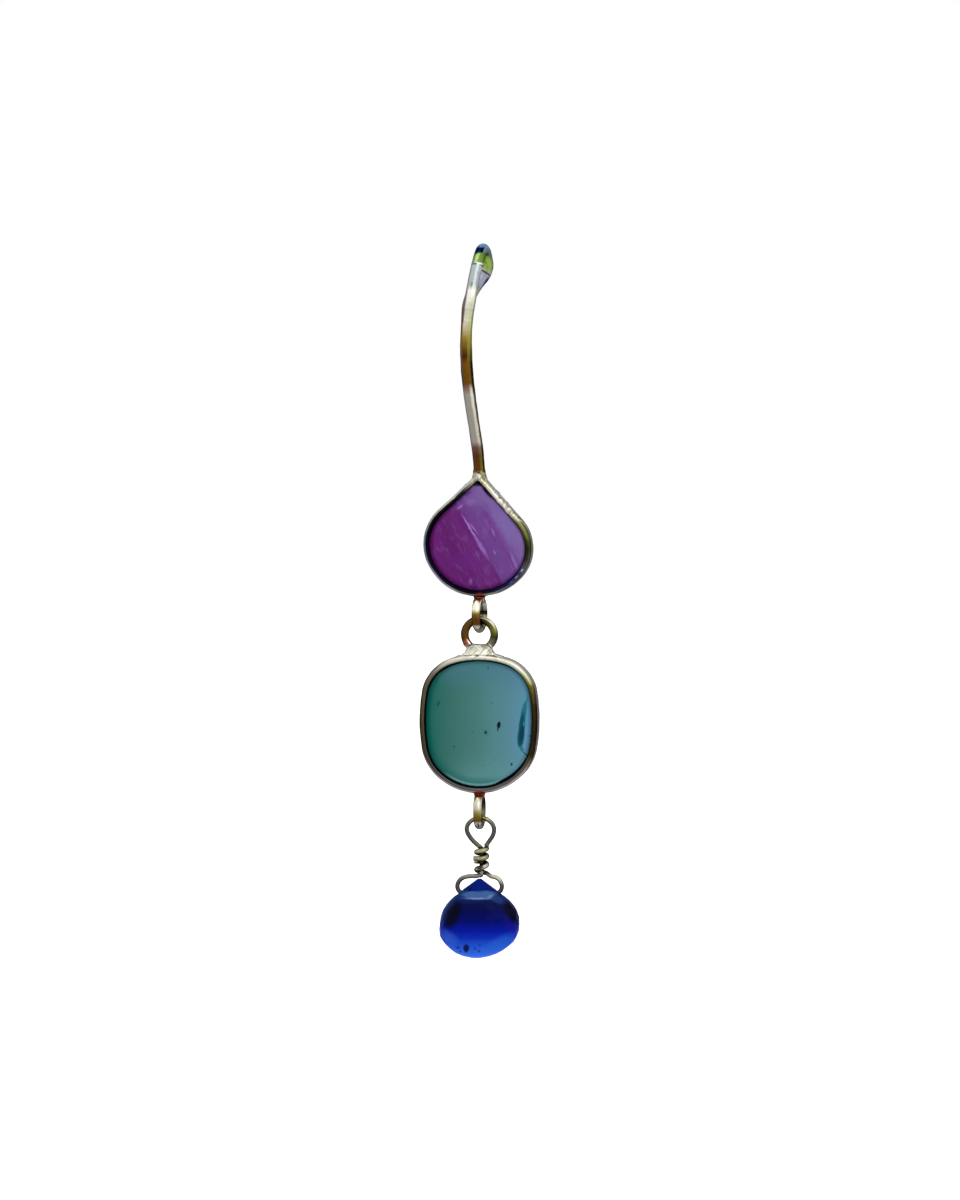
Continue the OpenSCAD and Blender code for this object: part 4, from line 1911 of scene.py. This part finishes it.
@dataclass
class Studio:
    """A plain pale floor, soft light and the camera at the photo's angle."""

    aim: tuple[float, float, float] = (0.045, 0.0, -31.33)
    frame_height: float = 109.1
    lens: float = 148.0
    sensor: float = 36.0
    floor_drop: float = 52.0
    floor_half: float = 2500.0

    def build(self) -> None:
        """Makes the floor, the light and the camera."""
        self._floor()
        self._world()
        self._lights()
        self._camera()
        bpy.context.scene.view_settings.view_transform = "Standard"

    def _floor(self) -> None:
        """A plain pale floor below the hanging earring."""
        z = CAD_BOX[0].z / MM - self.floor_drop
        half = self.floor_half
        corners = [(-half, -half, z), (half, -half, z), (half, half, z), (-half, half, z)]
        floor = make_piece("floor", [Vector(c) for c in corners], [(0, 1, 2, 3)])
        pale = Paint("pale_floor")
        shade = pale.noise(pale.here, 0.004)
        colour = pale.mix(shade, (248, 248, 248), (255, 255, 255))
        fixed = {"Roughness": 0.9, "Emission Strength": 0.55}
        given = {"Base Color": colour, "Emission Color": colour}
        dress(floor, pale.surface(given, fixed), smooth=False)
        floor.visible_glossy = False

    def _world(self) -> None:
        """Soft light all round: bright above, darker below, white behind the earring."""
        world = bpy.data.worlds.new("studio")
        world.use_nodes = True
        bpy.context.scene.world = world
        w = NodeWriter(world.node_tree)
        w.tree.nodes.clear()
        side, _, up = w.parts(w.node("ShaderNodeTexCoord").outputs["Generated"])
        stops = [
            (0.0, (196, 193, 187)),
            (0.36, (206, 203, 197)),
            (0.46, (243, 242, 240)),
            (0.54, (250, 250, 250)),
            (0.8, (252, 253, 255)),
            (1.0, (255, 255, 255)),
        ]
        glow = w.ramp(up * 0.5 + 0.5 + side * 0.08, stops)
        soft = w.node("ShaderNodeBackground", {"Color": glow, "Strength": 1.0})
        white = w.node("ShaderNodeBackground", {"Color": (255, 255, 255), "Strength": 1.0})
        seen = w.node("ShaderNodeLightPath").outputs["Is Camera Ray"]
        both = w.node("ShaderNodeMixShader", {0: seen, 1: soft.outputs[0], 2: white.outputs[0]})
        w.node("ShaderNodeOutputWorld", {"Surface": both.outputs[0]})

    def _lights(self) -> None:
        """One large soft light at the upper right front, and a weaker one overhead."""
        self._area("key", place=(260, -330, 260), size=420, power=0.5, colour=(0.92, 0.96, 1.0))
        self._area("over", place=(-60, 40, 420), size=300, power=0.4, colour=(1.0, 1.0, 1.0))

    def _area(
        self,
        name: str,
        place: tuple[float, float, float],
        size: float,
        power: float,
        colour: tuple[float, float, float],
    ) -> None:
        """A square light that looks at the earring's middle.

        Args:
            name: The light's name.
            place: Where it stands, from the earring's middle.
            size: Its side.
            power: Its power, in watts.
            colour: Its colour.
        """
        data = bpy.data.lights.new(name, "AREA")
        data.size = size * MM
        data.energy = power
        data.color = colour
        light = stand(name, data)
        away = Vector(place) * MM
        light.location = Vector(self.aim) * MM + away
        light.rotation_euler = (-away).to_track_quat("-Z", "Y").to_euler()

    def _camera(self) -> None:
        """The camera, a long way off, at the photo's angle."""
        data = bpy.data.cameras.new("camera")
        data.lens = self.lens
        data.sensor_width = self.sensor
        data.clip_start = 0.01
        camera = stand("camera", data)
        bpy.context.scene.camera = camera
        level = math.cos(FRONT_TIP)
        back = Vector(
            (math.sin(FRONT_TURN) * level, -math.cos(FRONT_TURN) * level, math.sin(FRONT_TIP))
        )
        distance = self.frame_height * self.lens / self.sensor
        camera.location = (Vector(self.aim) + back * distance) * MM
        camera.rotation_euler = (-back).to_track_quat("-Z", "Y").to_euler()


# The earring


@dataclass
class Earring:
    """All the pieces, from the ear wire down."""

    girdle_in: float = SetStone.girdle_in
    pear_top: float = -19.7
    ring_over_cushion: float = 1.775

    def __post_init__(self) -> None:
        """Works out the stones' places from the frame."""
        low, high = node_box(Node.AMETHYST)
        self.pear_bottom = low.z - self.girdle_in
        self.amethyst_middle = (low + high) / 2
        low, high = node_box(Node.AVENTURINE)
        self.cushion_bottom = low.z - self.girdle_in
        self.cushion_top = high.z + self.girdle_in
        self.aventurine_middle = (low + high) / 2
        self.ring_z = self.cushion_top + self.ring_over_cushion

    def upper_metal(self) -> SolderedMetal:
        """The ear wire, the pear-shaped setting and its loop.

        Returns:
            The piece.
        """
        return SolderedMetal(
            name="ear_wire_and_pear_setting",
            node=Node.EAR_HOOK,
            body=Body.UPPER,
            finish=self._upper_finish(),
            lumps=(
                Lump((0.28, -0.35, self.pear_top - 0.66), (0.46, 0.56, 0.5)),
                Lump((-0.2, -0.3, self.pear_top - 0.74), (0.4, 0.5, 0.4)),
                Lump((0.05, -0.45, self.pear_top - 0.35), (0.42, 0.4, 0.56)),
            ),
            marks_low=(-0.55, -1.4, self.pear_top - 1.1),
            marks_high=(0.75, 1.4, self.pear_top + 0.1),
            marks_per_square=2.4,
            seed=4,
        )

    def _upper_finish(self) -> HandWorkedMetal:
        """The upper metal's finish.

        Returns:
            The finish.
        """
        # The pear setting: painted reflections on the rim's outer half, and painted shade of the
        # gap by the stone on its inner half from the upper left round to the bottom
        setting = RoundReflectionsAndShade(
            self.amethyst_middle.z,
            rows_of(
                RoundShade,
                (0.0, (96, 98, 62), (104, 112, 44)),
                (0.05, (124, 122, 84), (142, 142, 74)),
                (0.09, (158, 156, 128), (216, 212, 170)),
                (0.12, (196, 194, 178), (236, 232, 212)),
                (0.19, (214, 212, 200), (240, 236, 220)),
                (0.24, (214, 212, 180), (240, 236, 206)),
                (0.27, (206, 204, 190), (176, 170, 146)),
                (0.3, (200, 198, 186), (52, 48, 46)),
                (0.38, (196, 194, 184), (20, 18, 22)),
                (0.44, (168, 166, 156), (16, 16, 20)),
                (0.5, (118, 122, 140), (14, 14, 26)),
                (0.58, (158, 150, 178), (12, 12, 28)),
                (0.66, (204, 196, 212), (14, 14, 30)),
                (0.72, (148, 144, 140), (12, 10, 24)),
                (0.79, (160, 162, 158), (18, 18, 40)),
                (0.85, (84, 82, 118), (30, 30, 86)),
                (0.875, (88, 84, 118), (40, 42, 84)),
                (0.9, (112, 108, 124), (76, 76, 88)),
                (0.925, (88, 82, 74), (48, 46, 36)),
                (0.96, (60, 62, 36), (34, 38, 10)),
                (0.985, (74, 78, 46), (64, 70, 20)),
            ),
        )
        # The ear wire's painted reflections: pale blue and dark teal at its top, then cream,
        # olive, brown, silver-grey and red-brown further down
        wire = WireReflections(
            rows_of(
                WireShade,
                (1.3, (190, 226, 255), (190, 228, 255), (190, 228, 255), (190, 220, 250)),
                (0.78, (130, 190, 236), (150, 200, 250), (150, 200, 250), (180, 214, 250)),
                (0.5, (70, 124, 160), (8, 48, 62), (10, 40, 52), (156, 180, 200)),
                (0.0, (96, 120, 150), (12, 40, 48), (10, 30, 36), (120, 140, 160)),
                (-0.5, (128, 132, 164), (120, 140, 120), (120, 140, 110), (70, 84, 80)),
                (-1.1, (150, 152, 186), (150, 156, 150), (120, 128, 110), (76, 86, 84)),
                (-1.4, (162, 168, 170), (178, 186, 183), (164, 172, 170), (170, 172, 190)),
                (-2.9, (156, 162, 160), (178, 186, 182), (168, 174, 174), (166, 168, 186)),
                (-3.2, (158, 160, 156), (214, 214, 206), (206, 208, 196), (150, 156, 150)),
                (-3.5, (152, 150, 148), (252, 252, 240), (252, 252, 238), (172, 176, 166)),
                (-4.6, (128, 112, 112), (254, 254, 242), (240, 244, 212), (156, 164, 144)),
                (-6.2, (104, 84, 66), (252, 246, 224), (226, 230, 172), (140, 152, 108)),
                (-7.0, (116, 94, 66), (222, 210, 168), (196, 196, 124), (130, 140, 88)),
                (-7.7, (128, 104, 62), (168, 146, 64), (166, 156, 60), (132, 130, 60)),
                (-8.7, (122, 100, 72), (122, 84, 30), (140, 132, 44), (112, 102, 44)),
                (-9.3, (116, 100, 88), (84, 40, 18), (116, 110, 34), (86, 74, 34)),
                (-10.0, (100, 92, 82), (124, 84, 26), (112, 82, 26), (44, 30, 18)),
                (-11.8, (84, 80, 76), (128, 86, 20), (112, 80, 34), (38, 26, 16)),
                (-12.3, (150, 124, 116), (156, 130, 118), (226, 214, 192), (70, 60, 50)),
                (-12.8, (172, 168, 164), (188, 184, 180), (240, 236, 220), (100, 94, 90)),
                (-17.0, (176, 172, 168), (190, 186, 182), (240, 234, 220), (92, 86, 82)),
                (-17.5, (140, 110, 104), (128, 94, 84), (150, 130, 98), (60, 44, 36)),
                (-18.2, (110, 66, 60), (104, 66, 30), (118, 102, 48), (40, 30, 20)),
                (-19.4, (112, 72, 66), (108, 74, 26), (126, 112, 50), (46, 38, 24)),
            )
        )
        loop_z = self.pear_bottom
        # The loop's painted reflections
        loop = LoopReflectionsAndShade(
            loop_z,
            rows_of(
                LoopShade,
                (0, (158, 84, 60), (158, 84, 60)),
                (-0.3, (200, 192, 170), (196, 190, 186)),
                (-0.7, (250, 246, 222), (206, 204, 204)),
                (-1.15, (250, 246, 216), (150, 146, 140)),
                (-1.35, (206, 196, 150), (30, 26, 20)),
                (-1.6, (128, 104, 50), (44, 38, 26)),
                (-1.8, (116, 92, 44), (150, 150, 106)),
                (-2.1, (108, 66, 34), (170, 166, 130)),
                (-2.55, (112, 76, 44), (150, 146, 136)),
                (-2.75, (224, 222, 216), (200, 198, 194)),
                (-3.4, (206, 204, 198), (196, 194, 190)),
            )
        )
        # Painted reflections, highlights and shade on the ear wire's top and back leg, a painted
        # shadow beside the front leg, highlights on the solder lump and the loop's top, and
        # highlights on the rim
        patches = rows_of(
            Patch,
            (0.25, -0.62, 0.82, 0.62, -6, 0.12, 0.05, (112, 146, 64)),
            (-0.3, -0.6, 0.3, 0.4, -20, 0.7, 0.05, (150, 168, 112), 0.6),
            (0.25, -1.42, 0.9, 0.4, -12, 0.2, 0, (182, 190, 188), 1.0),
            (0.05, -1.02, 0.42, 0.09, -8, 0.4, 0, (252, 252, 240), 0.95),
            (-0.42, -1.05, 0.2, 0.07, 8, 0.5, 0, (60, 70, 66), 0.9),
            (0.75, -0.75, 0.42, 0.75, 0, 0.4, 0, (196, 236, 120), 0.8, Depth.FAR),
            (0.5, -2.1, 0.6, 0.75, 0, 0.4, 0, (206, 208, 244), 0.85, Depth.FAR),
            (0.5, -2.5, 0.17, 0.8, -28, 0.4, 0, (40, 40, 118), 0.95),
            (0.55, -1.42, 0.62, 0.07, -32, 0.4, 0, (48, 54, 60), 0.95),
            (-0.72, -2.95, 0.09, 0.25, -14, 0.5, 0, (128, 134, 130), 0.8),
            (-0.1, self.pear_top - 0.62, 0.24, 0.26, 0, 0.6, 0.2, (255, 255, 246), 0.9),
            (0.45, self.pear_top - 0.6, 0.34, 0.55, 0, 0.5, 0.2, (122, 118, 64), 0.85),
            (0.42, self.pear_top - 1.1, 0.35, 0.3, 0, 0.6, 0.2, (234, 228, 176), 0.8),
            (0, loop_z - 0.02, 0.5, 0.3, 0, 0.3, 0.1, (142, 66, 46), 0.95),
            (3.85, loop_z + 2.35, 0.16, 0.07, 52, 0.5, 0.1, (196, 204, 222), 0.75),
            (3.35, loop_z + 1.75, 0.06, 0.2, -45, 0.5, 0.1, (160, 170, 204), 0.7),
            (2.9, loop_z + 1.3, 0.2, 0.05, 38, 0.5, 0.1, (110, 120, 180), 0.7),
        )
        return HandWorkedMetal(
            name="painted_reflection_gold_upper",
            setting=setting,
            above=wire,
            above_from=self.pear_top - 0.1,
            loop=loop,
            loop_from=loop_z - 0.05,
            scratched=(
                Mark(0.1, self.pear_top - 0.65, 0.75, 0.6, 0, 0.4),
                Mark(2.85, self.pear_top - 3.2, 0.45, 2.6, 42, 0.3),
            ),
            patches=patches,
        )

    def middle_metal(self) -> SolderedMetal:
        """The ring, the neck, the cushion-shaped setting and its loop.

        Returns:
            The piece.
        """
        return SolderedMetal(
            name="ring_and_cushion_setting",
            node=Node.MIDDLE_SETTING,
            body=Body.MIDDLE,
            finish=self._middle_finish(),
            lumps=(
                Lump((0.0, -0.55, self.cushion_top + 0.1), (1.2, 0.42, 0.36)),
                Lump((-0.4, -0.4, self.cushion_top + 0.55), (0.36, 0.42, 0.4)),
                Lump((0.42, -0.35, self.cushion_top + 0.5), (0.38, 0.42, 0.4)),
            ),
            marks_low=(-1.9, -1.4, self.cushion_top - 0.25),
            marks_high=(1.9, 1.4, self.cushion_top + 0.95),
            marks_per_square=2.6,
            seed=9,
        )

    def _middle_finish(self) -> HandWorkedMetal:
        """The middle metal's finish.

        Returns:
            The finish.
        """
        # The cushion setting's painted reflections and shade, by turn and from the rim's outer
        # half to its inner one
        setting = RoundReflectionsAndShade(
            self.aventurine_middle.z,
            rows_of(
                RoundShade,
                (0.0, (40, 22, 17), (48, 42, 17)),
                (0.05, (52, 30, 20), (54, 48, 18)),
                (0.08, (84, 66, 44), (84, 78, 26)),
                (0.095, (110, 100, 60), (104, 96, 32)),
                (0.107, (184, 176, 132), (140, 132, 52)),
                (0.125, (204, 202, 180), (172, 168, 104)),
                (0.15, (226, 222, 206), (228, 224, 200)),
                (0.25, (228, 224, 208), (242, 238, 220)),
                (0.33, (176, 170, 158), (206, 200, 182)),
                (0.365, (86, 84, 78), (124, 116, 100)),
                (0.4, (60, 57, 52), (98, 88, 72)),
                (0.45, (54, 51, 48), (90, 80, 58)),
                (0.52, (52, 50, 47), (76, 68, 48)),
                (0.58, (86, 82, 80), (66, 60, 50)),
                (0.62, (172, 166, 166), (62, 58, 58)),
                (0.68, (204, 196, 198), (80, 76, 78)),
                (0.75, (190, 184, 180), (96, 92, 90)),
                (0.82, (206, 200, 202), (92, 88, 90)),
                (0.875, (196, 190, 194), (82, 77, 75)),
                (0.9, (124, 112, 88), (76, 68, 48)),
                (0.915, (62, 44, 32), (48, 42, 22)),
                (0.96, (40, 22, 17), (44, 38, 17)),
            ),
        )
        # The ring's painted reflections
        ring = RoundReflectionsAndShade(
            self.ring_z,
            rows_of(
                RoundShade,
                (0.0, (80, 78, 44), (84, 84, 32)),
                (0.06, (150, 150, 104), (112, 116, 42)),
                (0.12, (226, 226, 204), (96, 86, 34)),
                (0.2, (230, 228, 208), (76, 56, 22)),
                (0.26, (150, 142, 110), (72, 48, 20)),
                (0.34, (82, 75, 52), (95, 68, 30)),
                (0.46, (70, 54, 34), (100, 65, 23)),
                (0.54, (72, 50, 32), (100, 62, 23)),
                (0.62, (104, 56, 36), (96, 60, 28)),
                (0.68, (170, 160, 140), (212, 206, 186)),
                (0.78, (206, 204, 182), (140, 136, 122)),
                (0.86, (126, 122, 104), (126, 120, 98)),
                (0.93, (86, 80, 62), (106, 98, 72)),
                (0.97, (42, 38, 20), (60, 54, 28)),
            ),
        )
        loop_z = self.cushion_bottom
        # The loop's painted reflections
        loop = LoopReflectionsAndShade(
            loop_z,
            rows_of(
                LoopShade,
                (0, (150, 80, 66), (150, 80, 66)),
                (-0.35, (196, 184, 150), (170, 164, 150)),
                (-0.65, (208, 204, 186), (90, 84, 74)),
                (-0.85, (214, 210, 190), (34, 30, 26)),
                (-1.35, (194, 190, 168), (80, 76, 64)),
                (-1.7, (160, 150, 92), (104, 100, 86)),
                (-2.1, (138, 118, 44), (110, 104, 84)),
                (-2.5, (112, 90, 30), (170, 164, 140)),
                (-2.75, (224, 220, 216), (206, 202, 198)),
                (-3.4, (204, 202, 200), (196, 194, 192)),
            ),
            edges=(116, 112, 104),
        )
        top = self.cushion_top
        # Painted highlights and reflections on the neck, its solder and the loop's top
        patches = rows_of(
            Patch,
            (-0.75, top + 0.85, 0.1, 0.55, 38, 0.5, 0, (255, 255, 244), 0.8),
            (0.2, top + 0.05, 1.5, 0.28, 0, 0.5, 0.3, (250, 246, 226), 0.7),
            (-0.1, top + 0.6, 1.0, 0.3, 0, 0.6, 0.3, (176, 174, 150), 0.6),
            (-0.2, top - 0.12, 0.25, 0.12, 0, 0.5, 0.1, (150, 126, 116), 0.7),
            (-1.25, top + 1.0, 0.25, 0.3, 30, 0.6, 0, (176, 92, 68), 0.6),
            (0, loop_z - 0.02, 0.55, 0.28, 0, 0.3, 0.1, (146, 70, 56), 0.95),
        )
        return HandWorkedMetal(
            name="painted_reflection_gold_middle",
            setting=setting,
            above=ring,
            above_from=self.cushion_top + 0.62,
            loop=loop,
            loop_from=loop_z - 0.05,
            scratched=(Mark(0, self.cushion_top + 0.3, 1.5, 0.65, 0, 0.4),),
            patches=patches,
        )

    def amethyst(self) -> SetStone:
        """The purple stone.

        Returns:
            The stone.
        """
        feathers = rows_of(
            Patch,
            (-3.9, -0.55, 0.5, 1.7, 0, 0.9, 0.4, (92, 20, 96), 0.5),
            (-1.15, -2.3, 1.2, 0.6, 0, 0.8, 0.8, (86, 28, 108), 0.5),
            (2.15, 1.0, 0.6, 2.0, 36, 0.8, 0.4, (108, 90, 148), 0.5),
            (0.95, 1.25, 0.32, 1.4, 27, 0.8, 0.3, (94, 46, 122), 0.55),
            (2.05, -0.6, 0.22, 0.7, 40, 0.7, 0.3, (98, 50, 126), 0.45),
            (0.15, 3.6, 1.2, 1.0, 0, 0.8, 0.3, (102, 81, 132), 0.75),
            # The near-black mark at the tip takes the colour of the painted shade inside the rim
            (-0.15, 4.85, 0.62, 0.42, 0, 0.3, 0, (6, 4, 16)),
            (0.7, 3.86, 0.15, 0.72, 41, 0.5, 0.06, (8, 5, 22), 0.95),
            (-1.0, 3.8, 0.35, 0.14, 30, 0.6, 0.2, (70, 28, 98), 0.6),
            (-0.75, 3.0, 0.36, 0.26, 0, 0.8, 0.4, (120, 90, 152), 0.45),
            (-1.48, 1.0, 0.25, 1.3, 35, 0.5, 0.25, (84, 22, 94), 0.85),
            (-0.9, 0.72, 0.09, 1.15, 31, 0.6, 0.15, (146, 112, 178), 0.7),
            (-0.52, 0.6, 0.06, 0.55, 38, 0.5, 0.1, (142, 108, 178), 0.6),
            (0.15, -1.05, 0.16, 1.05, 30, 0.7, 0.2, (136, 100, 172), 0.65),
            (1.25, 0.25, 0.07, 0.36, 20, 0.6, 0.1, (136, 102, 168), 0.5),
            (1.36, -1.55, 0.07, 0.2, 20, 0.6, 0.1, (140, 108, 172), 0.55),
            (3.15, -2.4, 0.1, 0.85, 23, 0.6, 0.2, (124, 98, 160), 0.6),
            (-0.8, -4.2, 0.14, 0.26, 0, 0.7, 0.1, (140, 90, 172), 0.4),
            (-1.75, 2.55, 0.3, 0.1, 40, 0.6, 0.2, (140, 112, 176), 0.5),
        )
        finish = FeatheredAmethyst("feathered_amethyst", self.amethyst_middle.z, feathers)
        return SetStone(
            name="pear_amethyst",
            node=Node.AMETHYST,
            body=Body.UPPER,
            slot=Slot.AMETHYST,
            outline=PEAR,
            material=finish.material,
            bottom_z=self.pear_bottom,
            table_forward=1.2,
            bevel_left=0.98,
            bevel_right=0.7,
            uneven=0.05,
        )

    def aventurine(self) -> SetStone:
        """The green stone.

        Returns:
            The stone.
        """
        ink = (4, 16, 26)
        specks_and_reflection = rows_of(
            Patch,
            # A lighter blue-grey band down the right edge: painted reflection
            (4.47, -0.4, 0.4, 2.55, -5, 0.14, 0, (74, 119, 146), 0.9),
            (-3.95, 3.6, 0.16, 0.5, -25, 0.6, 0.1, (0, 88, 70), 0.75),
            (4.25, 1.95, 0.09, 0.7, -14, 0.5, 0, (26, 104, 120), 0.7),
            (3.98, 0.85, 0.25, 1.25, -9, 0.25, 0.06, (10, 88, 104), 0.9),
            (3.85, -0.15, 0.29, 0.85, -7, 0.2, 0.08, (4, 76, 92), 0.95),
            (3.76, -1.12, 0.31, 0.98, -6, 0.14, 0.1, (0, 66, 80)),
            (3.84, 0.35, 0.17, 0.7, -11, 0.4, 0, (0, 60, 78), 0.9),
            (3.82, -0.85, 0.17, 0.8, -8, 0.4, 0.1, (0, 44, 60), 0.9),
            (4.02, 0.05, 0.06, 0.22, -10, 0.4, 0, (36, 124, 130), 0.7),
            (3.82, -2.22, 0.16, 0.26, 25, 0.3, 0.08, (14, 98, 102), 0.9),
            (4.15, -2.7, 0.05, 0.42, 47, 0.4, 0, (0, 58, 76), 0.9),
            (1.75, -0.08, 0.17, 0.32, -8, 0.25, 0, ink),
            (1.66, -0.5, 0.07, 0.16, -12, 0.4, 0, ink, 0.8),
            (0.56, -0.76, 0.24, 0.24, 0, 0.8, 0, (40, 84, 84), 0.5),
            (0.56, -0.76, 0.11, 0.13, 0, 0.35, 0, ink, 0.9),
            (-3.74, 1.84, 0.1, 0.27, -28, 0.4, 0, (6, 56, 62), 0.85),
            (-2.3, -2.05, 0.1, 0.09, 0, 0.4, 0, (10, 60, 64), 0.8),
            (2.9, -3.65, 0.1, 0.14, 0, 0.4, 0, (8, 44, 60), 0.9),
            (1.1, 1.95, 0.1, 0.08, 0, 0.5, 0, (30, 78, 84), 0.7),
            (-0.64, -0.7, 0.14, 0.1, 0, 0.6, 0, (36, 84, 82), 0.5),
            (1.3, -3.25, 0.07, 0.1, 0, 0.5, 0, (40, 90, 96), 0.6),
            (0.3, -3.8, 0.12, 0.07, 0, 0.6, 0, (44, 94, 98), 0.5),
            (4.6, -1.07, 0.12, 0.08, 0, 0.5, 0, (20, 70, 96), 0.8),
            (0.78, 5.1, 0.07, 0.2, 0, 0.5, 0, (20, 66, 84), 0.6),
        )
        finish = SpeckledAventurine("speckled_aventurine", self.aventurine_middle.z, specks_and_reflection)
        return SetStone(
            name="cushion_aventurine",
            node=Node.AVENTURINE,
            body=Body.MIDDLE,
            slot=Slot.AVENTURINE,
            outline=CUSHION,
            material=finish.material,
            bottom_z=self.cushion_bottom,
            table_forward=1.3,
            bevel_left=1.15,
            bevel_right=0.85,
            dome=0.05,
        )

    def build(self) -> None:
        """Makes every piece."""
        stages = (self.upper_metal(), self.amethyst(), self.middle_metal(), self.aventurine())
        for piece in (*stages, WrappedWire(), BlueDrop()):
            piece.build()


def main() -> None:
    """Makes the studio and the earring."""
    logging.basicConfig(level=logging.INFO, format="%(name)s: %(message)s")
    Studio().build()
    Earring().build()


if __name__ == "__main__":
    main()
